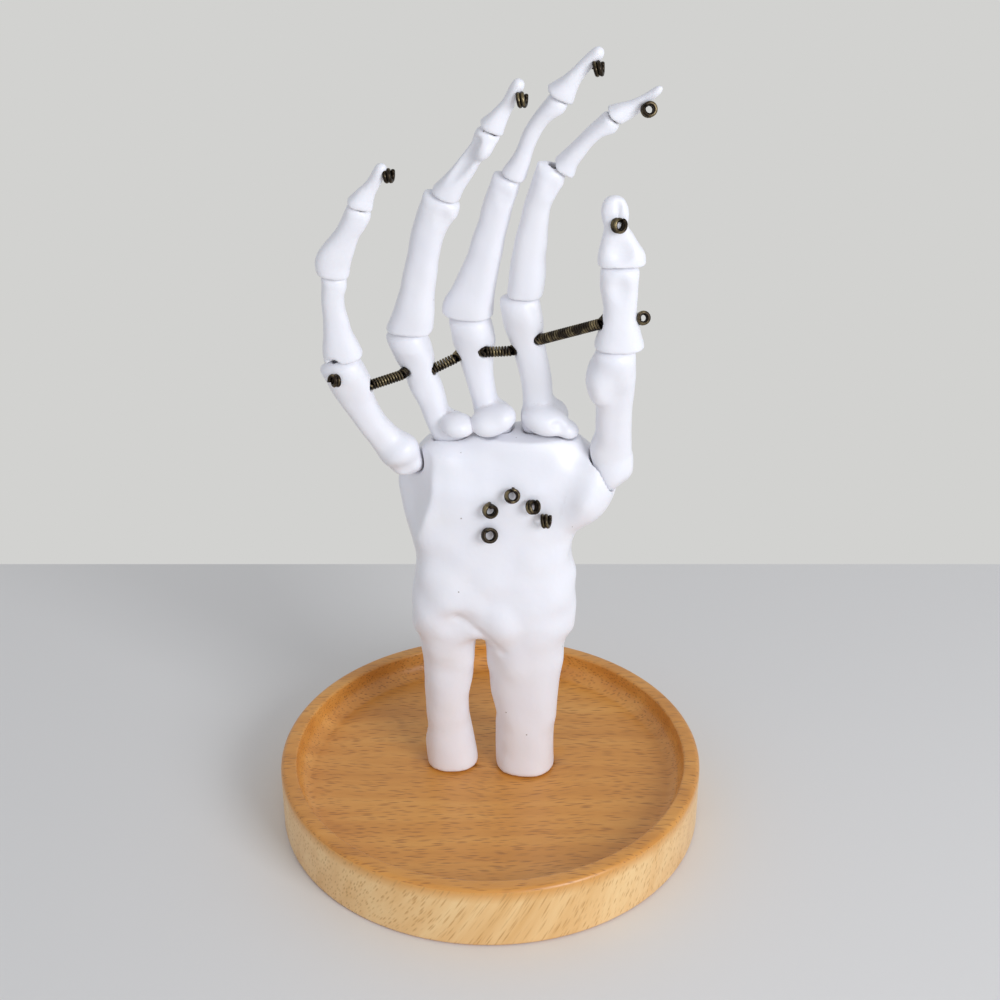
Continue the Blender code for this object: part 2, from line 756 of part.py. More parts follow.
def main():
    """Model every piece."""
    clear_scene()
    bone_white = material("bone_white", (0.84, 0.83, 0.83), 0.35)
    brass = material("antique_brass", (0.16, 0.12, 0.07), 0.35, 1.0)
    beech = material("beech", (0.51, 0.25, 0.08), 0.4)
    zinc = material("zinc_plate", (0.55, 0.56, 0.58), 0.3, 1.0)

    chains = {name: Chain(finger) for name, finger in FINGERS.items()}

    # Tray, screws and the holes for them
    tray = add_object("tray", turned("tray", tray_profile(), TRAY_SIDES), beech)
    wrist = stacked("wrist_casting", BODY_SECTIONS, FOREARM_HEIGHT, WRIST_HEIGHT, BODY_SIDES)
    casting = add_object("wrist_casting", wrist, bone_white)
    leg_height = FOREARM_HEIGHT + FOREARM_LAP - SEAT_GAP
    for leg, sections in (("ulna", ULNA_SECTIONS), ("radius", RADIUS_SECTIONS)):
        column = stacked(leg, sections, SEAT_GAP, leg_height, LEG_SIDES)
        combine(casting, hidden(add_object(f"{leg}_leg", column, bone_white)), "UNION")
    bpy.ops.mesh.primitive_uv_sphere_add(
        segments=BODY_SIDES, ring_count=PAD_RINGS, radius=METRES, location=from_wrist_top(THUMB_PAD_MIDDLE) * METRES
    )
    pad = hidden(bpy.context.object)
    pad.name = "thumb_pad"
    pad.scale = THUMB_PAD_RADII
    combine(casting, pad, "UNION")
    for leg, sections in (("ulna", ULNA_SECTIONS), ("radius", RADIUS_SECTIONS)):
        middle = (*leg_middle(sections), 0.0)
        screw = add_object(f"{leg}_screw", turned(f"{leg}_screw", screw_profile(0.0), SCREW_SIDES, middle), zinc)
        bpy.ops.mesh.primitive_cylinder_add(
            vertices=6,
            radius=SOCKET_ACROSS / 2 * METRES,
            depth=2 * SOCKET_DEPTH * METRES,
            location=Vector((middle[0], middle[1], SCREW_SUNK)) * METRES,
        )
        socket = hidden(bpy.context.object)
        socket.name = f"{leg}_screw_socket"
        combine(screw, socket, "DIFFERENCE")
        hole_mesh = turned(f"{leg}_hole", screw_profile(BORE_CLEARANCE), SCREW_SIDES, middle)
        hole = hidden(add_object(f"{leg}_hole", hole_mesh, zinc))
        combine(tray, hole, "DIFFERENCE")
        combine(casting, hole, "DIFFERENCE")

    # Cross spring
    line, is_open = cross_route(chains, COIL_LINE_STEPS)
    first_loop = loop_points(line[0], line[0] - line[1], FIRST_LOOP_TURN)
    last_loop = loop_points(line[-1], line[-1] - line[-2], LAST_LOOP_TURN)
    coil = wound(line, is_open, first_loop[0] - line[0])
    wire = [*reversed(first_loop), *coil, *last_loop]
    radii = [WIRE_DIAMETER / 2] * len(wire)
    add_object("cross_spring", tube_curve("cross_spring", wire, radii), brass)
    print(f"cross_spring: least gap to itself {least_gap(wire, radii):.2f} mm")
    bore, _ = cross_route(chains, BORE_LINE_STEPS)
    bore = [2 * bore[0] - bore[1], *bore, 2 * bore[-1] - bore[-2]]
    bore_radius = CROSS_SPRING_DIAMETER / 2 + BORE_CLEARANCE
    cross_bore = tube_cutter("cross_bore", bore, [bore_radius] * len(bore), brass)

    # Fingers
    pierced = {(crossing.finger, crossing.bone) for crossing in CROSSINGS}
    for name, finger in FINGERS.items():
        chain = chains[name]
        points, radii, inside = finger_route(name, finger, chain)
        add_object(f"{name}_spring", tube_curve(f"{name}_spring", points, radii), brass)
        print(f"{name}_spring: least gap to itself {least_gap(points, radii):.2f} mm")
        wide = [radius + BORE_CLEARANCE for radius in radii]
        finger_bore = tube_cutter(f"{name}_bore", points[inside], wide[inside], brass)
        combine(casting, seat_cutter(f"{name}_seat", chain, bone_white), "DIFFERENCE")
        combine(casting, finger_bore, "DIFFERENCE")
        cup = None
        carrier, carrier_place = casting, Vector()
        for index, bone in enumerate(finger.bones):
            piece = f"{name}_{bone}"
            mesh = bone_mesh(piece, chain, index, cup)
            body = add_object(piece, mesh, bone_white, chain.places[index] - carrier_place)
            body.parent = carrier
            body["hinge_axis"] = tuple(chain.axes[index])
            combine(body, finger_bore, "DIFFERENCE")
            if (name, bone) in pierced:
                combine(body, cross_bore, "DIFFERENCE")
            cup = head_profile(chain.bones[index], cup is None)
            carrier, carrier_place = body, chain.places[index]


main()
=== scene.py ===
"""Dresses the skeleton hand jewelry holder: a moulded bone hand strung on brass springs in a beech tray.

Lengths are millimetres in the part's own frame, and become metres when a mesh is made. The palm faces -Y,
the thumb is on the +X side and the tray stands on Z = 0. Bones and the wrist casting are modelled like clay:
as distances on a grid of points, joined and cut with soft fillets, and then skinned.
"""

import itertools
import json
import logging
import math
from dataclasses import dataclass, field
from enum import Enum
from typing import Sequence

import bmesh
import bpy
import numpy as np
import openvdb
from mathutils import Matrix, Vector

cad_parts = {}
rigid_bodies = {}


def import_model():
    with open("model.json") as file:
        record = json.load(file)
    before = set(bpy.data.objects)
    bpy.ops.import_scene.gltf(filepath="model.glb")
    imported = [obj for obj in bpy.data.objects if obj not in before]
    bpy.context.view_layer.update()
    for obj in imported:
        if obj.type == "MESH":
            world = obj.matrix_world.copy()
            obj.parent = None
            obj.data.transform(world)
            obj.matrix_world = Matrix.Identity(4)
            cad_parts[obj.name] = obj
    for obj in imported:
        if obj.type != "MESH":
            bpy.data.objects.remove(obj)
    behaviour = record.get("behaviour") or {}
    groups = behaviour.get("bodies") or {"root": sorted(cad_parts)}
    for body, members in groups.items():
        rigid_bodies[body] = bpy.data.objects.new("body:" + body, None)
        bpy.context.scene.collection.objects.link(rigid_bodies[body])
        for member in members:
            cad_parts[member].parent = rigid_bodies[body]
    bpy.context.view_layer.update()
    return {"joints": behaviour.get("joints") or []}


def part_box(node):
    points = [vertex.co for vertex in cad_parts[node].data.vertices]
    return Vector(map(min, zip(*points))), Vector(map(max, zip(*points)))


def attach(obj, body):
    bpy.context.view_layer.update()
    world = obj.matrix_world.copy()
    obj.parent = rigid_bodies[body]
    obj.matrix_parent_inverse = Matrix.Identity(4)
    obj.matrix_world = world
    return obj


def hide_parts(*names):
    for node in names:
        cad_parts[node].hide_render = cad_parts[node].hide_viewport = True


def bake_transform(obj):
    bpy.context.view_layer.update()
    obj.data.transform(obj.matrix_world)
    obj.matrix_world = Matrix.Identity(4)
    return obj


LOG = logging.getLogger("jewelry_holder")

METRES = 0.001
FAR = 50.0

# Clay: the grid's spacing, how far it reaches beyond a shape, and how its skin is evened out
BONE_CELL = 0.42
CASTING_CELL = 0.62
CLAY_MARGIN = 2.0
BONE_MARGIN = 1.0
RELAX_ROUNDS = 2
RELAX_SHARE = 0.5

# How wide a hollow the painted shade looks for, and how strongly it shows
PAINTED_SHADE_REACH = 2.2
PAINTED_SHADE_GAIN = 4.0
BLUR_ROUNDS = 2

# Points to a side of the block of random numbers that the swells are read from
SWELL_LATTICE = 32

# Rounds that find a point's place along a turning bone, and how far beyond the bone's ends it may lie
SOLVE_ROUNDS = 3
SOLVE_BEYOND = 0.4

# Fits between bones
JOINT_GAP = 0.6
SEAT_GAP = 0.45
SEAT_PLAY = 0.15
WRIST_BEND = 4.0
BORE_RADIUS = 1.4
BORE_DEPTH = 2.4

# How far a joint's face falls towards its sides, as a share of its radius
PULLEY_FALL = 0.26
BALL_FALL = 0.32

# Springs of brass wire
CROSS_SPRING_DIAMETER = 3.0
CROSS_WIRE = 0.72
CROSS_PITCH = 0.82
CROSS_HIDDEN = 2.6
CROSS_SINK = 1.6
CROSS_PLAY = 0.12
FINGER_SPRING_DIAMETER = 2.5
FINGER_WIRE = 0.62
FINGER_PITCH = 0.68
JOINT_BEND = 2.0
LOOP_WIRE = 1.08
LOOP_TURNS = 2.05
LOOP_PITCH = 1.04
POINTS_PER_CURL = 18
WIRE_SIDES = 8

# Turned edges sharper than this, in degrees, stay sharp in the shading
SHARP_ANGLE = 35.0

# A direction that no spring runs along, from which its first curl starts
COIL_START = (0.31, 0.9, 0.17)

# The node that a new material starts with, and the inputs of a map range node in the order used here
SHADER = "Principled BSDF"
RANGE = ("From Min", "From Max", "To Min", "To Max")

Array = np.ndarray
Triple = tuple[float, float, float]
Pair = tuple[float, float]
Section = tuple[float, float, float, float, float]
Material = bpy.types.Material
Piece = bpy.types.Object


class Slot(Enum):
    """The record's material slots."""

    BONE = "bone_white"
    BRASS = "antique_brass"
    BEECH = "beech"
    ZINC = "zinc_plate"


def linear(colour: str) -> tuple[float, float, float, float]:
    """Turn an sRGB hex colour into Blender's linear colour.

    Args:
        colour: Six hex digits, such as "F2F0F4".

    Returns:
        Linear red, green, blue and an alpha of one.
    """
    parts = [int(colour[index : index + 2], 16) / 255 for index in (0, 2, 4)]
    made = [part / 12.92 if part <= 0.04045 else ((part + 0.055) / 1.055) ** 2.4 for part in parts]
    return made[0], made[1], made[2], 1.0


def add_node(
    tree: bpy.types.NodeTree, kind: str, settings: dict | None = None, links: dict | None = None
) -> bpy.types.Node:
    """Add a shader node, or set up one that the tree already has.

    Args:
        tree: The material's or world's nodes.
        kind: The node's type, such as "ShaderNodeTexNoise", or the name of a node in the tree.
        settings: Values by the name or number of an input or the name of a property, and "stops" for the
            places and sRGB hex colours of a colour ramp.
        links: What goes to each input, by its name or number: an output, or a node for its first output.

    Returns:
        The node.
    """
    node = tree.nodes.get(kind) or tree.nodes.new(kind)
    for name, value in (settings or {}).items():
        if name == "stops":
            elements = node.color_ramp.elements
            while len(elements) < len(value):
                elements.new(0.5)
            for element, (place, colour) in zip(elements, value):
                element.position = place
                element.color = linear(colour)
        elif isinstance(name, str) and hasattr(node, name):
            setattr(node, name, value)
        else:
            node.inputs[name].default_value = value
    for name, source in (links or {}).items():
        output = source.outputs[0] if isinstance(source, bpy.types.Node) else source
        tree.links.new(output, node.inputs[name])
    return node


def new_material(name: str) -> tuple[Material, bpy.types.NodeTree, dict]:
    """Start a material.

    Args:
        name: The material's name.

    Returns:
        The material, its nodes, and the link that gives a texture its place on the piece.
    """
    material = bpy.data.materials.new(name)
    material.use_nodes = True
    tree = material.node_tree
    return material, tree, {"Vector": add_node(tree, "ShaderNodeTexCoord").outputs["Object"]}


def per_metre(size_mm: float) -> float:
    """The texture scale at which a pattern repeats at about a size in millimetres."""
    return 1.0 / (size_mm * METRES)


@dataclass(frozen=True)
class MouldedVinyl:
    """White PVC, moulded and lightly polished.

    It gives the eye a bright satin white with soft highlights, a faint lavender cast on broad faces, painted
    shade: a warmer grey laid into the hollows, and a surface that isn't quite even.
    """

    name: str = "moulded_white_vinyl"
    cool_white: str = "F0F0F7"
    warm_white: str = "F3F2F4"
    mottle_mm: float = 9.0
    mottle_span: Pair = (0.3, 0.7)
    # Painted shade in the hollows: its tone, the span of the hollow attribute over which it comes in, and its
    # strongest share
    painted_shade_tone: str = "D2CACB"
    painted_shade_span: Pair = (0.24, 0.95)
    painted_shade_most: float = 0.85
    speck_tone: str = "A79F9A"
    speck_cell_mm: float = 9.0
    speck_share: float = 0.026
    ior: float = 1.53
    roughness: Pair = (0.33, 0.49)
    dimple_mm: float = 3.2
    dimple_deep_mm: float = 0.25
    dimple_strength: float = 0.35
    # The mould's own grain is about 0.1 mm, too fine for the render, so it is drawn five times coarser
    grain_mm: float = 0.55
    grain_deep_mm: float = 0.04
    grain_strength: float = 0.12
    glow: float = 0.12
    glow_tint: Triple = (1.0, 0.8, 0.72)
    glow_mm: float = 1.2

    def make(self) -> Material:
        """Make the material.

        Returns:
            The finished material.
        """
        material, tree, place = new_material(self.name)
        mottle, dimples, grain = (
            add_node(tree, "ShaderNodeTexNoise", {"Scale": per_metre(size), "Detail": detail}, place)
            for size, detail in ((self.mottle_mm, 3.0), (self.dimple_mm, 1.0), (self.grain_mm, 2.0))
        )
        whites = {"data_type": "RGBA", 6: linear(self.cool_white), 7: linear(self.warm_white)}
        tone = add_node(tree, "ShaderNodeMix", whites, {0: mottle})
        # The "hollow" attribute darkens the hollows with painted shade
        hollow = add_node(tree, "ShaderNodeAttribute", {"attribute_name": "hollow"})
        span = dict(zip(RANGE, (*self.painted_shade_span, 0.0, self.painted_shade_most)))
        shade = add_node(tree, "ShaderNodeMapRange", span, {"Value": hollow.outputs["Fac"]})
        cells = add_node(tree, "ShaderNodeTexVoronoi", {"Scale": per_metre(self.speck_cell_mm)}, place)
        near = add_node(tree, "ShaderNodeMath", {"operation": "LESS_THAN", 1: self.speck_share}, {0: cells})
        for share, colour in ((shade, self.painted_shade_tone), (near, self.speck_tone)):
            over = {"data_type": "RGBA", 7: linear(colour)}
            tone = add_node(tree, "ShaderNodeMix", over, {0: share, 6: tone.outputs[2]})
        span = dict(zip(RANGE, (*self.mottle_span, *self.roughness)))
        polish = add_node(tree, "ShaderNodeMapRange", span, {"Value": mottle})
        broad = {"Strength": self.dimple_strength, "Distance": self.dimple_deep_mm * METRES}
        bump = add_node(tree, "ShaderNodeBump", broad, {"Height": dimples})
        fine = {"Strength": self.grain_strength, "Distance": self.grain_deep_mm * METRES}
        bump = add_node(tree, "ShaderNodeBump", fine, {"Height": grain, "Normal": bump})
        body = {
            "IOR": self.ior,
            "Subsurface Weight": self.glow,
            "Subsurface Radius": self.glow_tint,
            "Subsurface Scale": self.glow_mm * METRES,
        }
        add_node(tree, SHADER, body, {"Base Color": tone.outputs[2], "Roughness": polish, "Normal": bump})
        return material


@dataclass(frozen=True)
class AntiqueBrass:
    """Brass spring wire, darkened in an antiquing bath, with bright wear on the proud outside of its curls
    and a painted highlight laid over that wear, which on the eyes also covers the side that each eye faces.

    It gives the eye a brown-black wire whose proud surfaces glint olive and gold, partly from reflections and
    partly from the painted highlight. Its roughness is given where it is dark and where it is bright.
    """

    name: str = "antique_brass_wire"
    oxide: str = "352E26"
    # The light tone of the wear and of the painted highlight, and the span over which it comes in
    rubbed_and_highlit: str = "BCAA80"
    rubbed_and_highlit_span: Pair = (0.42, 0.9)
    roughness: Pair = (0.36, 0.18)
    patch_mm: float = 2.6

    def make(self) -> Material:
        """Make the material.

        Returns:
            The finished material.
        """
        material, tree, place = new_material(self.name)
        noise = {"Scale": per_metre(self.patch_mm), "Detail": 4.0}
        patches = add_node(tree, "ShaderNodeTexNoise", noise, place)
        # Bright wear and painted highlight, broken up by patches
        rub = add_node(tree, "ShaderNodeAttribute", {"attribute_name": "rub"}).outputs["Fac"]
        worn_and_highlit = add_node(tree, "ShaderNodeMath", {"operation": "MULTIPLY"}, {0: rub, 1: patches})
        share = add_node(tree, "ShaderNodeMapRange", dict(zip(RANGE, self.rubbed_and_highlit_span)), {"Value": worn_and_highlit})
        tones = {"data_type": "RGBA", 6: linear(self.oxide), 7: linear(self.rubbed_and_highlit)}
        tone = add_node(tree, "ShaderNodeMix", tones, {0: share})
        dull = add_node(tree, "ShaderNodeMapRange", dict(zip(RANGE[2:], self.roughness)), {"Value": share})
        add_node(tree, SHADER, {"Metallic": 1.0}, {"Base Color": tone.outputs[2], "Roughness": dull})
        return material


@dataclass(frozen=True)
class TurnedBeech:
    """Steamed beech, turned in one piece and finished with a thin satin lacquer.

    It gives the eye an even honey brown with short dark flecks along the grain, broad soft growth bands,
    pores where the flecks are, and a low sheen. Where it has an edge tone, it turns to that tone over a span
    of heights below the tray's rim, which blends a paler copy with painted light back into the rim's own
    tone.
    Its roughness is given between the flecks and on them.
    """

    name: str = "lacquered_beech"
    pale: str = "E1A250"
    mid: str = "D69240"
    deep: str = "C68234"
    tone_stops: Triple = (0.3, 0.5, 0.7)
    # Below the rim, a painted-lit copy turns back to this tone
    edge_tone: str = ""
    edge_span_mm: Pair = (15.5, 19.4)
    grain_tilt: float = 0.0
    sway_mm: float = 12.0
    sway_long_mm: float = 60.0
    band_mm: float = 9.0
    band_stretch: float = 14.0
    fleck_tone: str = "99602C"
    fleck_long_mm: float = 5.6
    # A beech ray fleck is about 0.3 mm wide, too fine for the render, and is drawn twice as wide
    fleck_wide_mm: float = 0.68
    fleck_span: Pair = (0.46, 0.16)
    fleck_most: float = 0.72
    fleck_chance: Pair = (0.05, 0.55)
    fleck_deep_mm: float = 0.12
    fleck_strength: float = 0.4
    ior: float = 1.5
    roughness: Pair = (0.36, 0.54)
    coat: float = 0.25
    coat_roughness: float = 0.28

    def make(self) -> Material:
        """Make the material.

        Returns:
            The finished material.
        """
        material, tree, place = new_material(self.name)
        noise = {"Scale": per_metre(self.sway_long_mm), "Detail": 1.0}
        sway = add_node(tree, "ShaderNodeTexNoise", noise, place).outputs["Color"]
        reach = {"operation": "SCALE", "Scale": self.sway_mm * METRES}
        lean = add_node(tree, "ShaderNodeVectorMath", reach, {0: sway})
        bent = add_node(tree, "ShaderNodeVectorMath", {"operation": "ADD"}, {0: place["Vector"], 1: lean})
        tilt = {"Rotation": (0.0, math.radians(self.grain_tilt), 0.0)}
        grain = {"Vector": add_node(tree, "ShaderNodeMapping", tilt, {"Vector": bent})}
        band, wide = per_metre(self.band_mm), per_metre(self.fleck_wide_mm)
        bands_at, flecks_at = (
            {"Vector": add_node(tree, "ShaderNodeMapping", {"Scale": scale}, grain)}
            for scale in ((band / self.band_stretch, band, band), (per_metre(self.fleck_long_mm), wide, wide))
        )
        noise = {"Scale": 1.0, "Detail": 5.0, "Roughness": 0.6}
        bands = add_node(tree, "ShaderNodeTexNoise", noise, bands_at)
        stops = {"stops": tuple(zip(self.tone_stops, (self.deep, self.mid, self.pale)))}
        tone = add_node(tree, "ShaderNodeValToRGB", stops, {"Fac": bands}).outputs["Color"]
        if self.edge_tone:
            height = add_node(tree, "ShaderNodeSeparateXYZ", {}, place).outputs["Z"]
            span = dict(zip(RANGE, (height_mm * METRES for height_mm in self.edge_span_mm)))
            near_rim = add_node(tree, "ShaderNodeMapRange", span, {"Value": height})
            edge = {"data_type": "RGBA", 7: linear(self.edge_tone)}
            tone = add_node(tree, "ShaderNodeMix", edge, {0: near_rim, 6: tone}).outputs[2]
        cells = add_node(tree, "ShaderNodeTexVoronoi", {"Scale": 1.0, "Randomness": 1.0}, flecks_at)
        span = dict(zip(RANGE, (*self.fleck_span, 0.0, self.fleck_most)))
        dash = add_node(tree, "ShaderNodeMapRange", span, {"Value": cells.outputs["Distance"]})
        span = dict(zip(RANGE, self.fleck_chance))
        chance = add_node(tree, "ShaderNodeMapRange", span, {"Value": cells.outputs["Color"]})
        fleck = add_node(tree, "ShaderNodeMath", {"operation": "MULTIPLY"}, {0: dash, 1: chance})
        brown = {"data_type": "RGBA", 7: linear(self.fleck_tone)}
        tone = add_node(tree, "ShaderNodeMix", brown, {0: fleck, 6: tone}).outputs[2]
        dull = add_node(tree, "ShaderNodeMapRange", dict(zip(RANGE[2:], self.roughness)), {"Value": fleck})
        relief = {"Strength": self.fleck_strength, "Distance": self.fleck_deep_mm * METRES, "invert": True}
        pores = add_node(tree, "ShaderNodeBump", relief, {"Height": fleck})
        lacquer = {"IOR": self.ior, "Coat Weight": self.coat, "Coat Roughness": self.coat_roughness}
        add_node(tree, SHADER, lacquer, {"Base Color": tone, "Roughness": dull, "Normal": pores})
        return material


@dataclass(frozen=True)
class ZincPlate:
    """Bright zinc on a turned steel screw.

    It gives the eye a pale grey metal with a faint blue cast and fine turning marks. Its roughness is given
    where it is dull and where it is bright.
    """

    name: str = "zinc_plated_steel"
    bright: str = "B9BDC2"
    dull: str = "8E9298"
    tone_stops: Pair = (0.35, 0.65)
    roughness: Pair = (0.4, 0.25)
    # Turning marks are about 0.1 mm apart, too fine for the render, so they are drawn coarser
    mark_mm: float = 0.7

    def make(self) -> Material:
        """Make the material.

        Returns:
            The finished material.
        """
        material, tree, place = new_material(self.name)
        marks = add_node(tree, "ShaderNodeTexNoise", {"Scale": per_metre(self.mark_mm), "Detail": 3.0}, place)
        stops = {"stops": tuple(zip(self.tone_stops, (self.dull, self.bright)))}
        tone = add_node(tree, "ShaderNodeValToRGB", stops, {"Fac": marks})
        wear = add_node(tree, "ShaderNodeMapRange", dict(zip(RANGE[2:], self.roughness)), {"Value": marks})
        add_node(tree, SHADER, {"Metallic": 1.0}, {"Base Color": tone, "Roughness": wear})
        return material


@dataclass(frozen=True)
class PaintedPlaster:
    """Matt emulsion, rolled on a smooth studio floor.

    It gives the eye a flat pale grey with a trace of the roller's nap.
    """

    name: str = "painted_floor"
    colour: str = "E6E4E0"
    roughness: float = 0.85
    nap_mm: float = 2.0
    nap_deep_mm: float = 0.2
    nap_strength: float = 0.05

    def make(self) -> Material:
        """Make the material.

        Returns:
            The finished material.
        """
        material, tree, place = new_material(self.name)
        nap = add_node(tree, "ShaderNodeTexNoise", {"Scale": per_metre(self.nap_mm), "Detail": 2.0}, place)
        relief = {"Strength": self.nap_strength, "Distance": self.nap_deep_mm * METRES}
        bump = add_node(tree, "ShaderNodeBump", relief, {"Height": nap})
        paint = {"Base Color": linear(self.colour), "Roughness": self.roughness}
        add_node(tree, SHADER, paint, {"Normal": bump})
        return material


def smooth_min(first: Array, second: Array, soft: float) -> Array:
    """Join two shapes with a fillet.

    Args:
        first: Distances to one shape.
        second: Distances to the other.
        soft: The fillet's size.

    Returns:
        Distances to both together.
    """
    share = np.clip(0.5 + 0.5 * (second - first) / soft, 0.0, 1.0)
    return second + (first - second) * share - soft * share * (1.0 - share)


def smooth_max(first: Array, second: Array, soft: float) -> Array:
    """Keep what two shapes share, with a rounded edge.

    Args:
        first: Distances to one shape.
        second: Distances to the other.
        soft: The size of the rounding.

    Returns:
        Distances to what they share.
    """
    return -smooth_min(-first, -second, soft)


def through(at: Array, places: Sequence[float], values: Sequence[float]) -> Array:
    """Follow a smooth curve through given values.

    Args:
        at: Where to read the curve.
        places: Where the values are, rising.
        values: The values there.

    Returns:
        The curve's values.
    """
    knots = np.asarray(places, float)
    heights = np.asarray(values, float)
    slopes = np.gradient(heights, knots)
    inside = np.clip(at, knots[0], knots[-1])
    index = np.clip(np.searchsorted(knots, inside) - 1, 0, len(knots) - 2)
    span = knots[index + 1] - knots[index]
    share = (inside - knots[index]) / span
    rest = 1.0 - share
    return (
        heights[index] * (1.0 + 2.0 * share) * rest**2
        + slopes[index] * span * share * rest**2
        + heights[index + 1] * share**2 * (3.0 - 2.0 * share)
        - slopes[index + 1] * span * share**2 * rest
    )


def ball(points: Array, middle: Triple, radii: Triple, lean: float) -> Array:
    """Distances to an egg shape.

    Args:
        points: Points, with their coordinates last.
        middle: The egg's middle.
        radii: Its half sizes across, front to back and up.
        lean: How far its top leans to the thumb side, in degrees.

    Returns:
        Distances, below zero inside.
    """
    x, y, z = np.moveaxis(points - np.asarray(middle), -1, 0)
    cosine, sine = math.cos(math.radians(lean)), math.sin(math.radians(lean))
    local = np.stack((x * cosine - z * sine, y, x * sine + z * cosine), axis=-1)
    near = np.linalg.norm(local / np.asarray(radii), axis=-1)
    steep = np.linalg.norm(local / np.square(radii), axis=-1)
    return near * (near - 1.0) / np.maximum(steep, 1e-6)


def rod(points: Array, start: Sequence[float], end: Sequence[float], radius: float) -> Array:
    """Distances to a round bar with round ends.

    Args:
        points: Points, with their coordinates last.
        start: One end of its middle line.
        end: The other end.
        radius: Its radius.

    Returns:
        Distances, below zero inside.
    """
    first = np.asarray(start, float)
    way = np.asarray(end, float) - first
    share = np.clip((points - first) @ way / (way @ way), 0.0, 1.0)
    return np.linalg.norm(points - first - share[..., None] * way, axis=-1) - radius


def unit(vector: Sequence[float]) -> Array:
    """The direction of a vector."""
    made = np.asarray(vector, float)
    return made / np.linalg.norm(made)


def unevenness(points: Array, size: float, seed: int) -> Array:
    """Smooth random swells, as a pattern carved by hand has them.

    Args:
        points: Points, with their coordinates last.
        size: From one swell to the next.
        seed: Picks the pattern.

    Returns:
        Heights from -1 to 1.
    """
    lattice = np.random.default_rng(seed).uniform(-1.0, 1.0, (SWELL_LATTICE,) * 3)
    low = np.floor(points / size).astype(int)
    part = points / size - low
    ease = part * part * (3.0 - 2.0 * part)
    total = np.zeros(points.shape[:-1])
    for corner in itertools.product((0, 1), repeat=3):
        weight = np.prod(np.where(np.array(corner) == 1, ease, 1.0 - ease), axis=-1)
        total += weight * lattice[tuple(np.moveaxis((low + corner) % SWELL_LATTICE, -1, 0))]
    return total


@dataclass
class Clay:
    """A block of clay: distances to a shape on a grid of points."""

    low: Array
    high: Array
    cell: float
    points: Array = field(init=False)
    shape: Array = field(init=False)

    def __post_init__(self) -> None:
        """Lay out the grid, with nothing in it."""
        axes = [np.arange(a - CLAY_MARGIN, b + CLAY_MARGIN, self.cell) for a, b in zip(self.low, self.high)]
        self.points = np.stack(np.meshgrid(*axes, indexing="ij"), axis=-1)
        self.shape = np.full(self.points.shape[:-1], FAR)

    def hollows(self) -> Array:
        """Find the hollows of the shape, as places with much of it round them, where shade is painted.

        Returns:
            For each grid point, 0 on flat and proud places and up to 1 deep inside a hollow.
        """
        share = (self.shape < 0).astype(np.float32)
        reach = max(round(PAINTED_SHADE_REACH / self.cell), 1)
        for axis in range(3):
            pads = [(reach + 1, reach) if other == axis else (0, 0) for other in range(3)]
            for _ in range(BLUR_ROUNDS):
                total = np.cumsum(np.pad(share, pads), axis)
                count = share.shape[axis]
                ahead = np.take(total, np.arange(2 * reach + 1, 2 * reach + 1 + count), axis)
                share = (ahead - np.take(total, np.arange(count), axis)) / (2 * reach + 1)
        return np.clip((share - 0.5) * PAINTED_SHADE_GAIN, 0.0, 1.0)

    def skin(self, name: str) -> Piece:
        """Skin the shape.

        Args:
            name: The new piece's name.

        Returns:
            A smooth shaded piece whose "hollow" attribute says where its hollows are, for the painted shade
            there.
        """
        grid = openvdb.FloatGrid(FAR)
        grid.copyFromArray(self.shape.astype(np.float32))
        spots, quads = grid.convertToQuads(isovalue=0.0)
        places = self.points[0, 0, 0] + spots * self.cell
        mesh = bpy.data.meshes.new(name)
        mesh.from_pydata(places * METRES, [], quads[:, ::-1])
        sewn = bmesh.new()
        sewn.from_mesh(mesh)
        axes = {f"use_axis_{axis}": True for axis in "xyz"}
        for _ in range(RELAX_ROUNDS):
            bmesh.ops.smooth_vert(sewn, verts=sewn.verts[:], factor=RELAX_SHARE, **axes)
        bmesh.ops.recalc_face_normals(sewn, faces=sewn.faces[:])
        sewn.to_mesh(mesh)
        sewn.free()
        mesh.shade_smooth()
        # How deep each point lies in a hollow, kept for the painted shade
        near = tuple(np.clip(np.round(spots).astype(int), 0, np.array(self.shape.shape) - 1).T)
        hollows = self.hollows()[near].astype(np.float32)
        mesh.attributes.new("hollow", "FLOAT", "POINT").data.foreach_set("value", hollows)
        return link(name, mesh)


def link(name: str, mesh: bpy.types.Mesh) -> Piece:
    """Put a mesh in the scene.

    Args:
        name: The piece's name.
        mesh: Its mesh, already in place.

    Returns:
        The piece.
    """
    piece = bpy.data.objects.new(name, mesh)
    bpy.context.scene.collection.objects.link(piece)
    return piece


def dress(
    piece: Piece,
    finish: Material,
    slot: Slot,
    node: str,
    *bodies: str,
    bend: tuple[Array, Array] | None = None,
) -> None:
    """Give a piece its material, and hang it on the body that it moves with; a piece with a bend is only set
    in place.

    Args:
        piece: The piece.
        finish: Its material.
        slot: The record's slot for that material; not used.
        node: The CAD node that it stands for.
        bodies: The body that it moves with; for a piece with a bend, not read.
        bend: Where a bend between two bodies would start and end; only whether it is given is read.
    """
    piece.data.materials.append(finish)
    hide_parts(node)
    if bend is None:
        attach(piece, bodies[0])
    else:
        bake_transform(piece)
    LOG.info("%s: %d faces", piece.name, len(piece.data.polygons))


@dataclass(frozen=True)
class Face:
    """A joint's round face: its half width along the hinge, and its radius, which falls towards its sides."""

    half_width: float
    radius: float
    fall: float

    def radius_at(self, across: Array) -> Array:
        """The radius at places across the joint."""
        share = np.clip(np.abs(across) / self.half_width, 0.0, 1.0)
        return self.radius - self.fall * share * share


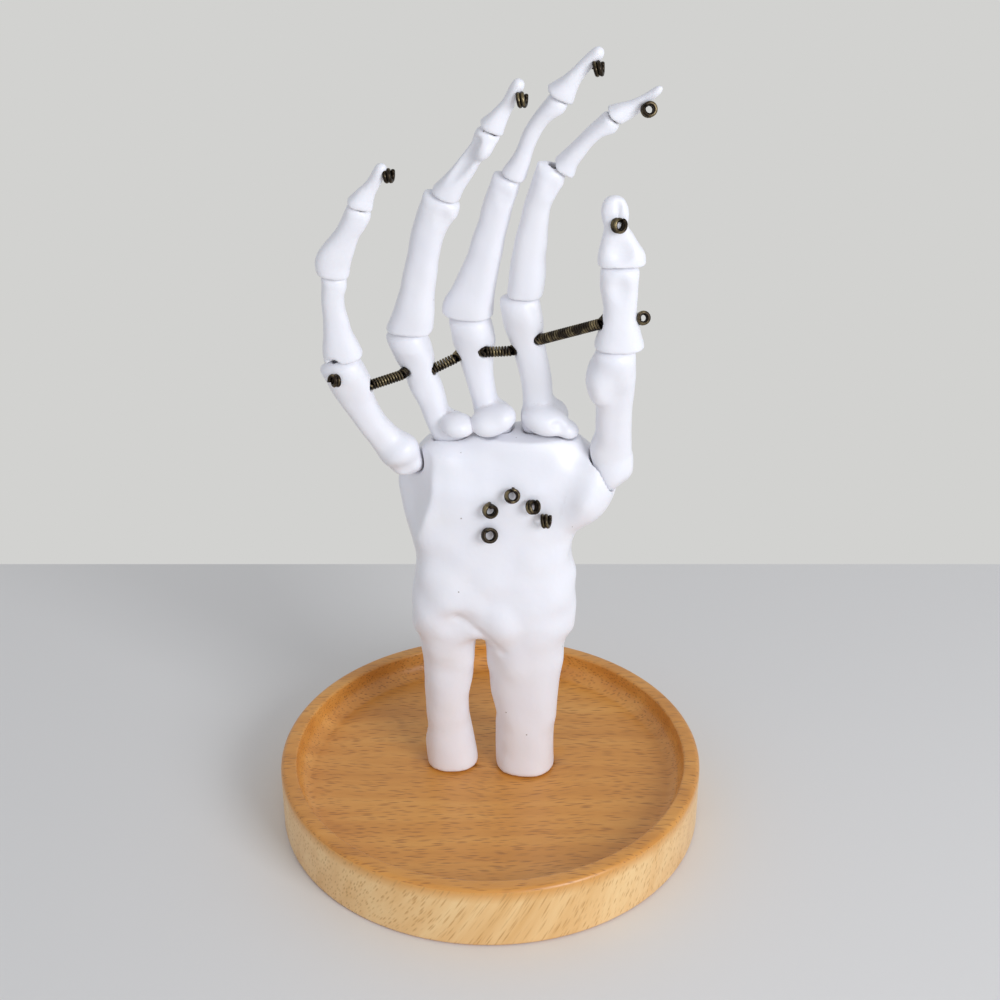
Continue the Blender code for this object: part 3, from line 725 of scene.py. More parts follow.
@dataclass(frozen=True)
class Lump:
    """A swelling or a dent, whose top leans to the thumb side by some degrees."""

    at: Triple
    radii: Triple
    lean: float
    soft: float
    is_dent: bool = False

    def work(self, shape: Array, points: Array) -> Array:
        """Press the lump into a shape, or out of it.

        Args:
            shape: Distances to the shape.
            points: The points that they belong to.

        Returns:
            The new distances.
        """
        egg = ball(points, self.at, self.radii, self.lean)
        return smooth_max(shape, -egg, self.soft) if self.is_dent else smooth_min(shape, egg, self.soft)


def dent(at: Triple, radii: Triple, lean: float, soft: float) -> Lump:
    """A dent of some place, size, lean and soft edge."""
    return Lump(at, radii, lean, soft, True)


@dataclass(frozen=True)
class BoneSizes:
    """A bone's shape.

    At shares of its length, its lefts and rights say how far it reaches to the little finger's side and to
    the thumb's side of the line from joint to joint. Its depths, front to back, are those of its base, shaft
    and head.
    """

    shares: tuple[float, ...]
    lefts: tuple[float, ...]
    rights: tuple[float, ...]
    depths: Triple
    lumps: tuple[Lump, ...] = ()

    @property
    def base_width(self) -> float:
        """The width at the bone's near end."""
        return self.rights[0] - self.lefts[0]

    @property
    def head_width(self) -> float:
        """The width at the bone's far end."""
        return self.rights[-1] - self.lefts[-1]


class BoneKind(Enum):
    """The three forms that a bone of the hand has."""

    METACARPAL = "metacarpal"
    PHALANX = "phalanx"
    TIP = "tip"


# At shares of a bone's length, how much of its base's, its shaft's and its head's depth it has
DEPTH_MIXES = {
    BoneKind.METACARPAL: (
        (-0.06, 0.98, 0.0, 0.0),
        (0.06, 1.0, 0.0, 0.0),
        (0.2, 0.55, 0.45, 0.0),
        (0.48, 0.06, 0.94, 0.0),
        (0.7, 0.0, 0.94, 0.06),
        (0.88, 0.0, 0.4, 0.58),
        (1.0, 0.0, 0.0, 1.0),
    ),
    BoneKind.PHALANX: (
        (0.1, 1.0, 0.0, 0.0),
        (0.18, 0.98, 0.02, 0.0),
        (0.32, 0.62, 0.38, 0.0),
        (0.55, 0.14, 0.86, 0.0),
        (0.74, 0.0, 1.0, 0.0),
        (0.9, 0.0, 0.5, 0.5),
        (1.0, 0.0, 0.0, 1.0),
    ),
    BoneKind.TIP: (
        (0.15, 1.0, 0.0, 0.0),
        (0.24, 0.86, 0.14, 0.0),
        (0.38, 0.36, 0.64, 0.0),
        (0.56, 0.0, 1.0, 0.0),
        (0.72, 0.0, 0.4, 0.6),
        (0.86, 0.0, 0.0, 1.0),
        (1.0, 0.0, 0.0, 0.72),
    ),
}


def hinge_space(points: Array, place: Array, axis: Array) -> tuple[Array, Array]:
    """Read points along a hinge's axis and out from it.

    Args:
        points: Points in the part's frame.
        place: The hinge's middle.
        axis: The hinge's axis.

    Returns:
        Places along the axis, and distances from it.
    """
    from_place = points - place
    across = from_place @ axis
    return across, np.linalg.norm(from_place - across[..., None] * axis, axis=-1)


@dataclass
class Bone:
    """One bone between two joints, or between a joint and the finger's tip."""

    name: str
    kind: BoneKind
    sizes: BoneSizes
    start: Array
    end: Array
    low_axis: Array
    high_axis: Array
    cup: Face | None
    holes: list[tuple[Array, Array, float]] = field(default_factory=list)

    # How square every bone's sections are, how its ends are rounded, and how uneven it is
    squareness: float = 2.4
    palmar_flat: float = 0.88
    rim_share: float = 0.76
    rim_soft: float = 0.8
    head_soft: float = 1.1
    tip_soft: float = 1.6
    cup_soft: float = 0.7
    bore_soft: float = 0.25
    foot_share: float = 0.42
    foot_round: float = 2.4
    foot_soft: float = 2.2
    wobble: float = 0.2
    wobble_mm: float = 5.0

    @property
    def length(self) -> float:
        """From joint to joint."""
        return float(np.linalg.norm(self.end - self.start))

    @property
    def way(self) -> Array:
        """Where the bone points."""
        return unit(self.end - self.start)

    @property
    def head(self) -> Face:
        """The round face at the bone's far end: a ball on a metacarpal, a pulley on a finger bone."""
        radius = self.sizes.depths[2] / 2
        fall = BALL_FALL if self.kind is BoneKind.METACARPAL else PULLEY_FALL
        return Face(self.sizes.head_width / 2, radius, fall * radius)

    def bone_space(self, points: Array) -> tuple[Array, Array, Array]:
        """Read points in the bone's own directions, which turn from one hinge's to the other's.

        Args:
            points: Points in the part's frame.

        Returns:
            How far each point lies across, back from and along the bone.
        """
        way, length = self.way, self.length
        along_low = unit(way - self.low_axis * (way @ self.low_axis))
        along_high = unit(way - self.high_axis * (way @ self.high_axis))
        share = (points - self.start) @ way / length
        for _ in range(SOLVE_ROUNDS):
            held = np.clip(share, 0.0, 1.0)[..., None]
            along = along_low * (1 - held) ** 2 + way * 2 * held * (1 - held) + along_high * held**2
            along /= np.linalg.norm(along, axis=-1, keepdims=True)
            from_middle = points - self.start - share[..., None] * way * length
            share = share + (from_middle * along).sum(-1) / (along @ way) / length
            share = np.clip(share, -SOLVE_BEYOND, 1.0 + SOLVE_BEYOND)
        held = np.clip(share, 0.0, 1.0)[..., None]
        across = self.low_axis * (1 - held) + self.high_axis * held
        across = across - along * (across * along).sum(-1, keepdims=True)
        across /= np.linalg.norm(across, axis=-1, keepdims=True)
        back = np.cross(along, across)
        from_middle = points - self.start - share[..., None] * way * length
        return (from_middle * across).sum(-1), (from_middle * back).sum(-1), share * length

    def tilted(self, points: Array, degrees: float) -> Array:
        """Points as the bone meets them once it has bent at its base.

        Args:
            points: Points in the part's frame.
            degrees: How far it bends.

        Returns:
            The same points in the frame of the bent bone.
        """
        turn = np.array(Matrix.Rotation(math.radians(-degrees), 3, Vector(self.low_axis)))
        return (points - self.start) @ turn.T + self.start

    def half_depths(self, along: Array) -> Array:
        """Half the bone's depth.

        Args:
            along: Places along the bone.

        Returns:
            Half depths there.
        """
        shares, *mixes = zip(*DEPTH_MIXES[self.kind])
        depths = np.array(mixes).T @ self.sizes.depths / 2
        return through(along / self.length, shares, depths)

    @property
    def rim(self) -> float:
        """How far the base's rim stands above its joint."""
        return self.rim_share * (self.cup.radius + JOINT_GAP) if self.cup else 0.0

    def distance(self, points: Array) -> Array:
        """Distances to the bone.

        Args:
            points: Points in the part's frame.

        Returns:
            Distances, below zero inside.
        """
        sizes, length, power = self.sizes, self.length, self.squareness
        across, back, along = self.bone_space(points)
        left, right = (through(along / length, sizes.shares, side) for side in (sizes.lefts, sizes.rights))
        half_width = (right - left) / 2
        half_depth = self.half_depths(along) * np.where(back < 0, self.palmar_flat, 1.0)
        sideways = np.abs(across - (left + right) / 2) / half_width
        oval = sideways**power + (np.abs(back) / half_depth) ** power
        shape = (oval ** (1.0 / power) - 1.0) * np.minimum(half_width, half_depth)
        shape = smooth_max(shape, self.rim - along, self.rim_soft)
        low_across, low_out = hinge_space(points, self.start, self.low_axis)
        if self.kind is BoneKind.METACARPAL:
            outward = low_out - sizes.depths[0] * self.foot_share
            sideward = np.abs(low_across) - sizes.base_width * self.foot_share
            shape = smooth_min(shape, smooth_max(outward, sideward, self.foot_round), self.foot_soft)
        if self.kind is BoneKind.TIP:
            shape = smooth_max(shape, along - length, self.tip_soft)
        else:
            high_across, high_out = hinge_space(points, self.end, self.high_axis)
            beyond = np.minimum(along - length, high_out - self.head.radius_at(high_across))
            shape = smooth_max(shape, beyond, self.head_soft)
        for lump in sizes.lumps:
            shape = lump.work(shape, points)
        shape = shape + self.wobble * unevenness(points, self.wobble_mm, len(self.name))
        if self.cup is not None:
            shape = smooth_max(shape, self.cup.radius_at(low_across) + JOINT_GAP - low_out, self.cup_soft)
        return shape

    def build(self, finish: Material) -> None:
        """Model the bone with its bores, to stand for the CAD bone of the same name.

        Args:
            finish: The bone's material.
        """
        sizes = self.sizes
        reach = max(sizes.depths[0], -min(sizes.lefts), max(sizes.rights)) + BONE_MARGIN
        low, high = np.minimum(self.start, self.end) - reach, np.maximum(self.start, self.end) + reach
        clay = Clay(low, high, BONE_CELL)
        clay.shape = self.distance(clay.points)
        for start, end, radius in self.holes:
            clay.shape = smooth_max(clay.shape, -rod(clay.points, start, end, radius), self.bore_soft)
        dress(clay.skin(f"{self.name}_bone"), finish, Slot.BONE, self.name, self.name)


def wire_mesh(name: str, path: Array, radius: float, rub_and_highlight_ways: Array) -> Piece:
    """Sweep a round wire along a path.

    Args:
        name: The piece's name.
        path: Points along the wire's middle.
        radius: The wire's radius.
        rub_and_highlight_ways: Where the wire has bright wear and a painted highlight: a direction out of the
            spring at each point.

    Returns:
        A closed tube whose "rub" attribute is 1 on the spring's outside and 0 within it: bright wear and a
        painted highlight.
    """
    ways = np.gradient(path, axis=0)
    ways /= np.linalg.norm(ways, axis=1, keepdims=True)
    side = unit(np.cross(ways[0], rub_and_highlight_ways[0]))
    rings = []
    worn_and_highlit = []
    turns = np.linspace(0.0, 2.0 * math.pi, WIRE_SIDES, endpoint=False)
    for place, way, out in zip(path, ways, rub_and_highlight_ways):
        side = unit(side - way * (side @ way))
        other = np.cross(way, side)
        spokes = np.outer(np.cos(turns), side) + np.outer(np.sin(turns), other)
        rings.append(place + spokes * radius)
        # Bright wear and painted highlight on the side of the wire that faces out of the spring
        worn_and_highlit.append(np.clip(0.5 + 0.5 * spokes @ out, 0.0, 1.0))
    points = np.concatenate([*rings, path[:1], path[-1:]])
    faces = []
    last = (len(path) - 1) * WIRE_SIDES
    near_pole, far_pole = last + WIRE_SIDES, last + WIRE_SIDES + 1
    for low in range(0, last, WIRE_SIDES):
        high = low + WIRE_SIDES
        for spoke in range(WIRE_SIDES):
            following = (spoke + 1) % WIRE_SIDES
            faces.append((low + spoke, low + following, high + following, high + spoke))
    for spoke in range(WIRE_SIDES):
        following = (spoke + 1) % WIRE_SIDES
        faces.append((near_pole, following, spoke))
        faces.append((far_pole, last + spoke, last + following))
    mesh = bpy.data.meshes.new(name)
    mesh.from_pydata(points * METRES, [], faces)
    mesh.shade_smooth()
    shine = np.concatenate([*worn_and_highlit, [0.0, 0.0]]).astype(np.float32)
    mesh.attributes.new("rub", "FLOAT", "POINT").data.foreach_set("value", shine)
    return link(name, mesh)


def coil(line: Array, diameter: float, wire: float, pitch: float) -> tuple[Array, Array]:
    """Wind a close spring along a line.

    Args:
        line: Points along the spring's middle.
        diameter: The spring's outside diameter.
        wire: The wire's diameter.
        pitch: From one curl to the next.

    Returns:
        Points along the wire, and the direction out of the spring at each.
    """
    spans = np.linalg.norm(np.diff(line, axis=0), axis=1)
    reached = np.concatenate([[0.0], np.cumsum(spans)])
    count = max(round(reached[-1] / pitch * POINTS_PER_CURL), 2)
    steps = np.linspace(0.0, reached[-1], count + 1)
    middles = np.stack([np.interp(steps, reached, line[:, axis]) for axis in range(3)], axis=1)
    ways = np.gradient(middles, axis=0)
    ways /= np.linalg.norm(ways, axis=1, keepdims=True)
    side = unit(np.cross(ways[0], COIL_START))
    outs = []
    for step, way in enumerate(ways):
        side = unit(side - way * (side @ way))
        angle = 2.0 * math.pi * step / POINTS_PER_CURL
        outs.append(side * math.cos(angle) + np.cross(way, side) * math.sin(angle))
    rub_and_highlight_ways = np.array(outs)
    return middles + rub_and_highlight_ways * (diameter - wire) / 2, rub_and_highlight_ways


@dataclass(frozen=True)
class EndLoop:
    """The eye at a spring's end: two curls of wire on a stem that comes out of a bone.

    The eye's axis points the way that it faces, and the stem starts at a root inside the bone.
    """

    middle: Triple
    facing: Triple
    root: Triple
    diameter: float
    stem_points: int = 7

    def path(self) -> tuple[Array, Array]:
        """Lead the wire from inside the bone, along the stem and round the eye.

        Returns:
            Points along the wire, and the way that it has bright wear and a painted highlight at each.
        """
        middle, root, axis = np.array(self.middle), np.array(self.root), unit(self.facing)
        toward = root - middle
        first = unit(toward - axis * (toward @ axis))
        side = np.cross(axis, first)
        steps = np.arange(round(LOOP_TURNS * POINTS_PER_CURL) + 1) / POINTS_PER_CURL
        angles = 2.0 * math.pi * steps
        outs = np.outer(np.cos(angles), first) + np.outer(np.sin(angles), side)
        rises = np.outer((steps - LOOP_TURNS / 2) * LOOP_PITCH, axis)
        ring = middle + outs * (self.diameter - LOOP_WIRE) / 2 + rises
        bend = ring[0] - side * LOOP_WIRE
        shares = np.linspace(0.0, 1.0, self.stem_points, endpoint=False)[:, None]
        stem = root * (1 - shares) ** 2 + bend * 2 * shares * (1 - shares) + ring[0] * shares**2
        # Painted highlight: on an eye, the bright wear of the curls' outside is turned half towards the way
        # the eye faces
        rubbed_and_highlit = (outs + axis) / math.sqrt(2.0)
        return np.concatenate([stem, ring]), np.concatenate([np.tile(first, (self.stem_points, 1)), rubbed_and_highlit])

    def build(self, name: str, node: str, body: str, finish: Material) -> None:
        """Bend the eye.

        Args:
            name: The piece's name.
            node: The CAD spring that it belongs to.
            body: The body that it moves with.
            finish: The wire's material.
        """
        path, rub_and_highlight_ways = self.path()
        dress(wire_mesh(name, path, LOOP_WIRE / 2, rub_and_highlight_ways), finish, Slot.BRASS, node, body)


@dataclass(frozen=True)
class Finger:
    """A finger: the point of its tip, the way that the tip's pad faces, its bones and its spring's eyes."""

    name: str
    tip: Triple
    pad_turn: float
    bones: dict[str, BoneSizes]
    palm_eye: EndLoop
    tip_eye: EndLoop


FINGERS = (
    Finger(
        name="little",
        tip=(-25.2, -20.0, 209.3),
        pad_turn=35.0,
        bones={
            "metacarpal": BoneSizes(
                shares=(-0.06, 0.1, 0.23, 0.36, 0.6, 0.74, 0.86, 1.0),
                lefts=(-4.6, -6.0, -6.2, -6.2, -6.4, -6.7, -6.5, -5.8),
                rights=(3.2, 4.0, 3.4, 2.1, 2.1, 3.0, 4.6, 5.4),
                depths=(7.6, 8.2, 10.6),
                lumps=(Lump((-25.0, -0.6, 123.4), (5.2, 4.8, 4.2), -32.0, 2.0),),
            ),
            "proximal": BoneSizes(
                shares=(0.14, 0.22, 0.31, 0.46, 0.61, 0.78, 0.9, 1.0),
                lefts=(-5.6, -5.6, -5.5, -4.8, -4.3, -4.0, -3.8, -3.4),
                rights=(5.6, 5.2, 4.4, 3.0, 2.5, 2.1, 2.5, 3.5),
                depths=(9.0, 6.2, 6.8),
                lumps=(dent((-41.7, -10.1, 152.0), (2.5, 1.6, 2.5), 0.0, 0.6),),
            ),
            "middle": BoneSizes(
                shares=(0.16, 0.28, 0.36, 0.49, 0.62, 0.75, 0.88, 1.0),
                lefts=(-5.6, -6.6, -6.6, -5.8, -4.7, -3.8, -3.4, -3.2),
                rights=(3.2, 2.8, 2.5, 2.1, 2.0, 2.1, 2.9, 3.4),
                depths=(7.6, 5.4, 6.2),
            ),
            "distal": BoneSizes(
                shares=(0.16, 0.31, 0.44, 0.55, 0.7, 0.85, 1.0),
                lefts=(-4.2, -3.5, -2.9, -2.2, -1.7, -1.6, -1.3),
                rights=(3.2, 2.1, 1.6, 1.5, 1.5, 1.4, 1.0),
                depths=(6.2, 3.3, 3.2),
            ),
        },
        palm_eye=EndLoop((0.1, -10.3, 101.4), (0.28, -0.86, 0.42), (-1.6, -6.0, 100.2), 4.6),
        tip_eye=EndLoop((-24.3, -19.8, 206.5), (1.0, -0.12, 0.08), (-26.2, -18.6, 206.8), 3.8),
    ),
    Finger(
        name="ring",
        tip=(8.1, -15.0, 228.6),
        pad_turn=40.0,
        bones={
            "metacarpal": BoneSizes(
                shares=(-0.06, 0.1, 0.2, 0.33, 0.46, 0.6, 0.73, 0.86, 1.0),
                lefts=(-5.2, -5.4, -5.4, -5.4, -5.4, -5.3, -5.2, -5.4, -5.4),
                rights=(4.8, 3.0, 1.8, 2.4, 3.0, 3.5, 3.9, 4.9, 5.5),
                depths=(10.6, 8.2, 11.2),
                lumps=(Lump((-8.8, 0.6, 130.6), (4.8, 4.8, 3.3), 4.0, 0.9),),
            ),
            "proximal": BoneSizes(
                shares=(0.09, 0.15, 0.24, 0.39, 0.53, 0.68, 0.83, 0.92, 1.0),
                lefts=(-8.0, -7.4, -6.8, -6.2, -6.1, -6.1, -6.3, -6.0, -5.4),
                rights=(5.4, 5.0, 4.5, 3.3, 2.7, 2.3, 2.4, 3.4, 4.7),
                depths=(10.6, 7.8, 8.4),
                lumps=(dent((-11.6, -8.8, 191.0), (2.2, 1.8, 3.0), 12.0, 1.6),),
            ),
            "middle": BoneSizes(
                shares=(0.16, 0.32, 0.45, 0.6, 0.74, 0.86, 1.0),
                lefts=(-5.0, -4.1, -3.6, -3.2, -2.9, -2.8, -3.4),
                rights=(2.9, 2.3, 2.2, 2.1, 1.9, 2.2, 2.4),
                depths=(8.0, 5.6, 6.2),
                lumps=(
                    dent((-7.7, -11.9, 206.0), (3.0, 3.7, 9.8), 35.0, 0.7),
                    Lump((-0.9, -10.9, 210.6), (1.9, 2.2, 2.9), 30.0, 1.2),
                ),
            ),
            "distal": BoneSizes(
                shares=(0.14, 0.26, 0.37, 0.48, 0.6, 0.72, 0.84, 1.0),
                lefts=(-4.0, -3.3, -2.6, -2.0, -1.5, -1.4, -1.4, -1.2),
                rights=(3.0, 2.3, 2.1, 2.0, 1.9, 1.6, 1.5, 1.5),
                depths=(6.4, 3.5, 3.4),
            ),
        },
        palm_eye=EndLoop((0.3, -10.4, 109.2), (0.32, -0.84, 0.12), (-1.4, -6.0, 110.2), 4.3),
        tip_eye=EndLoop((8.2, -15.6, 223.9), (1.0, -0.12, 0.08), (6.3, -13.4, 224.3), 4.0),
    ),
    Finger(
        name="middle",
        tip=(27.4, -14.0, 235.9),
        pad_turn=40.0,
        bones={
            "metacarpal": BoneSizes(
                shares=(-0.06, 0.1, 0.21, 0.34, 0.48, 0.62, 0.75, 0.89, 1.0),
                lefts=(-5.4, -5.4, -5.3, -5.2, -5.3, -5.6, -6.0, -6.2, -5.8),
                rights=(4.6, 3.0, 1.8, 1.8, 2.2, 3.0, 4.1, 5.4, 5.6),
                depths=(11.0, 8.4, 11.2),
                lumps=(
                    Lump((-0.4, 0.4, 131.4), (5.0, 5.0, 3.9), 0.0, 0.9),
                    Lump((3.8, 0.6, 133.2), (3.6, 4.4, 3.3), 0.0, 2.6),
                ),
            ),
            "proximal": BoneSizes(
                shares=(0.1, 0.17, 0.31, 0.45, 0.6, 0.74, 0.89, 1.0),
                lefts=(-9.6, -9.8, -8.1, -6.7, -5.9, -5.4, -5.1, -4.4),
                rights=(4.4, 3.9, 3.1, 2.8, 2.6, 2.5, 2.6, 3.0),
                depths=(10.6, 7.8, 8.0),
                lumps=(dent((4.4, -7.6, 195.8), (2.0, 1.8, 3.0), 12.0, 1.6),),
            ),
            "middle": BoneSizes(
                shares=(0.13, 0.29, 0.44, 0.6, 0.76, 0.9, 1.0),
                lefts=(-3.6, -3.0, -3.3, -3.8, -3.8, -3.4, -3.0),
                rights=(3.3, 2.3, 1.3, 0.5, 0.3, 1.0, 2.2),
                depths=(7.8, 5.0, 6.2),
            ),
            "distal": BoneSizes(
                shares=(0.14, 0.22, 0.35, 0.46, 0.56, 0.67, 0.78, 0.9, 1.0),
                lefts=(-5.2, -4.5, -3.6, -3.2, -2.8, -2.4, -2.0, -1.5, -1.2),
                rights=(2.8, 2.3, 1.4, 1.0, 0.9, 1.1, 1.4, 1.7, 1.4),
                depths=(6.6, 3.5, 3.4),
            ),
        },
        palm_eye=EndLoop((6.4, -10.4, 113.9), (0.25, -0.82, 0.5), (6.0, -6.0, 115.2), 4.3),
        tip_eye=EndLoop((26.6, -14.6, 231.1), (1.0, -0.1, 0.16), (24.9, -12.5, 231.6), 4.0),
    ),
    Finger(
        name="index",
        tip=(42.1, -16.0, 227.5),
        pad_turn=45.0,
        bones={
            "metacarpal": BoneSizes(
                shares=(-0.06, 0.08, 0.17, 0.32, 0.47, 0.62, 0.77, 0.9, 1.0),
                lefts=(-6.5, -6.2, -5.4, -4.6, -4.4, -4.8, -5.5, -5.9, -5.6),
                rights=(6.8, 5.0, 3.4, 3.7, 3.9, 3.9, 4.0, 4.8, 5.0),
                depths=(11.0, 8.4, 10.8),
                lumps=(
                    Lump((15.6, 0.4, 132.2), (6.6, 5.2, 4.2), 14.0, 1.0),
                    Lump((21.6, 0.0, 129.8), (3.6, 3.6, 2.5), 22.0, 1.2),
                    dent((19.6, -5.2, 132.2), (2.6, 2.8, 1.9), 14.0, 0.7),
                    dent((12.0, -7.6, 165.0), (1.2, 2.4, 4.2), -16.0, 1.4),
                ),
            ),
            "proximal": BoneSizes(
                shares=(0.14, 0.28, 0.42, 0.56, 0.7, 0.84, 0.93, 1.0),
                lefts=(-5.1, -5.6, -5.8, -5.8, -5.5, -5.2, -4.8, -4.3),
                rights=(4.4, 4.3, 3.2, 2.4, 1.8, 1.8, 2.6, 3.7),
                depths=(10.2, 7.2, 8.0),
                lumps=(dent((16.0, -11.6, 199.4), (2.0, 1.8, 3.0), 12.0, 1.6),),
            ),
            "middle": BoneSizes(
                shares=(0.18, 0.24, 0.35, 0.49, 0.62, 0.75, 0.88, 1.0),
                lefts=(-2.8, -2.6, -2.5, -2.5, -2.4, -2.3, -2.2, -2.1),
                rights=(4.2, 3.6, 2.5, 1.9, 1.4, 1.2, 1.5, 3.2),
                depths=(7.6, 5.0, 6.0),
            ),
            "distal": BoneSizes(
                shares=(0.12, 0.22, 0.35, 0.46, 0.58, 0.69, 0.81, 0.92, 1.0),
                lefts=(-3.6, -3.0, -2.3, -1.5, -0.9, -0.6, -0.5, -0.5, -0.4),
                rights=(2.0, 2.0, 2.6, 2.8, 2.7, 2.4, 2.0, 1.6, 1.2),
                depths=(5.8, 3.2, 2.6),
            ),
        },
        palm_eye=EndLoop((12.2, -10.5, 110.5), (0.72, -0.55, 0.35), (11.4, -6.0, 111.6), 4.3),
        tip_eye=EndLoop((39.0, -16.6, 221.8), (0.2, -0.9, 0.38), (37.0, -14.4, 223.4), 3.9),
    ),
    Finger(
        name="thumb",
        tip=(31.2, -18.7, 201.3),
        pad_turn=0.0,
        bones={
            "metacarpal": BoneSizes(
                shares=(-0.06, 0.08, 0.17, 0.31, 0.46, 0.61, 0.75, 0.9, 1.0),
                lefts=(-5.6, -6.6, -6.8, -5.6, -5.1, -5.2, -5.2, -5.2, -5.0),
                rights=(4.6, 4.6, 4.5, 4.4, 4.7, 5.0, 5.3, 5.6, 5.6),
                depths=(10.6, 8.4, 10.6),
                lumps=(
                    Lump((29.0, -12.8, 149.6), (2.9, 3.6, 6.2), -3.0, 3.6),
                    Lump((34.4, -2.0, 118.2), (4.6, 5.2, 6.6), 22.0, 2.0),
                ),
            ),
            "proximal": BoneSizes(
                shares=(0.16, 0.24, 0.32, 0.48, 0.64, 0.8, 0.92, 1.0),
                lefts=(-5.8, -5.5, -5.0, -4.0, -3.5, -4.0, -4.6, -4.7),
                rights=(8.0, 7.5, 6.9, 6.0, 5.4, 5.1, 5.1, 5.2),
                depths=(10.2, 7.4, 8.0),
                lumps=(dent((33.6, -21.4, 176.6), (2.4, 2.0, 4.0), 0.0, 1.8),),
            ),
            "distal": BoneSizes(
                shares=(0.18, 0.3, 0.42, 0.53, 0.64, 0.74, 0.84, 0.94, 1.0),
                lefts=(-5.2, -5.0, -4.3, -3.5, -2.9, -3.3, -3.5, -2.8, -2.0),
                rights=(7.3, 7.1, 5.6, 4.3, 2.9, 3.2, 3.3, 2.6, 1.8),
                depths=(7.8, 4.8, 4.4),
                lumps=(
                    dent((33.2, -21.4, 187.2), (3.2, 2.2, 2.8), 0.0, 1.4),
                    dent((32.2, -21.4, 197.8), (0.75, 1.9, 3.4), 0.0, 0.8),
                ),
            ),
        },
        palm_eye=EndLoop((15.8, -10.5, 106.1), (1.0, -0.2, 0.1), (15.8, -6.0, 107.0), 4.3),
        tip_eye=EndLoop((32.4, -20.9, 194.3), (0.55, -0.8, 0.15), (32.2, -17.6, 195.6), 4.0),
    ),
)

# Where the cross spring goes into and comes out of each bone, from the little finger's side to the thumb's
CROSSINGS = (
    ("little_metacarpal", (-39.6, -9.5, 148.1), (-32.2, -5.0, 145.0)),
    ("ring_metacarpal", (-24.0, -0.7, 146.2), (-15.7, 3.2, 146.3)),
    ("middle_metacarpal", (-9.2, 3.8, 149.4), (-1.0, 0.5, 152.4)),
    ("index_metacarpal", (6.2, 0.0, 153.0), (13.8, -2.7, 157.3)),
    ("thumb_proximal", (29.4, -15.0, 166.5), (37.7, -18.0, 167.8)),
)


@dataclass
class Hand:
    """The nineteen bones of the fingers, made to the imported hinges."""

    joints: list[dict]
    bones: dict[str, Bone] = field(default_factory=dict)

    def __post_init__(self) -> None:
        """Set every bone between its hinges."""
        hinges = {joint["child"]: joint for joint in self.joints}
        for finger in FINGERS:
            names = [f"{finger.name}_{bone}" for bone in finger.bones]
            places = [np.array(hinges[name]["pos_m"]) / METRES for name in names] + [np.array(finger.tip)]
            axes = [unit(hinges[name]["axis"]) for name in names]
            bearing = math.radians(finger.pad_turn)
            axes.append(unit(np.cross(places[-1] - places[-2], (math.sin(bearing), -math.cos(bearing), 0.0))))
            cup = None
            for index, (name, sizes) in enumerate(zip(names, finger.bones.values())):
                kind = BoneKind.METACARPAL if index == 0 else BoneKind.PHALANX
                kind = BoneKind.TIP if index == len(names) - 1 else kind
                bone = Bone(
                    name, kind, sizes, places[index], places[index + 1], axes[index], axes[index + 1], cup
                )
                if cup is not None:
                    deep = bone.start + bone.way * (cup.radius + BORE_DEPTH)
                    bone.holes.append((bone.start, deep, BORE_RADIUS))
                if kind is not BoneKind.TIP:
                    deep = bone.end + bone.way * (bone.head.radius + BORE_DEPTH)
                    bone.holes.append((bone.end, deep, BORE_RADIUS))
                self.bones[name] = bone
                cup = bone.head
        for (first, _, leaves), (second, enters, _) in zip(CROSSINGS, CROSSINGS[1:]):
            line = CrossSpring.line(np.array(leaves), np.array(enters))
            radius = CROSS_SPRING_DIAMETER / 2 + CROSS_PLAY
            self.bones[first].holes.append((line[0], line[1], radius))
            self.bones[second].holes.append((line[-2], line[-1], radius))

    def build(self, vinyl: Material, brass: Material) -> None:
        """Model the bones, and the springs that show between them and at their ends.

        Args:
            vinyl: The bones' material.
            brass: The springs' material.
        """
        for bone in self.bones.values():
            bone.build(vinyl)
        for finger in FINGERS:
            node = f"{finger.name}_spring"
            names = [f"{finger.name}_{bone}" for bone in finger.bones]
            for index, name in enumerate(names):
                self.joint_spring(node, "stand" if index == 0 else names[index - 1], self.bones[name], brass)
            finger.palm_eye.build(f"{node}_palm_eye", node, "stand", brass)
            finger.tip_eye.build(f"{node}_tip_eye", node, names[-1], brass)

    def joint_spring(self, node: str, carrier: str, bone: Bone, brass: Material) -> None:
        """Wind the spring that shows in the gap below a bone.

        Args:
            node: The CAD spring that it stands for.
            carrier: The body on the other side of the joint.
            bone: The bone above the joint.
            brass: The spring's material.
        """
        before = self.bones[carrier].way if carrier in self.bones else bone.way
        reach = (bone.cup.radius if bone.cup else 0.0) + BORE_DEPTH - FINGER_WIRE
        line = np.array([bone.start - before, bone.start, bone.start + bone.way * reach])
        path, rub_and_highlight_ways = coil(line, FINGER_SPRING_DIAMETER, FINGER_WIRE, FINGER_PITCH)
        piece = wire_mesh(f"{bone.name}_joint_spring", path, FINGER_WIRE / 2, rub_and_highlight_ways)
        bend = (bone.start - before * JOINT_BEND, bone.start + bone.way * JOINT_BEND)
        dress(piece, brass, Slot.BRASS, node, carrier, bone.name, bend=bend)


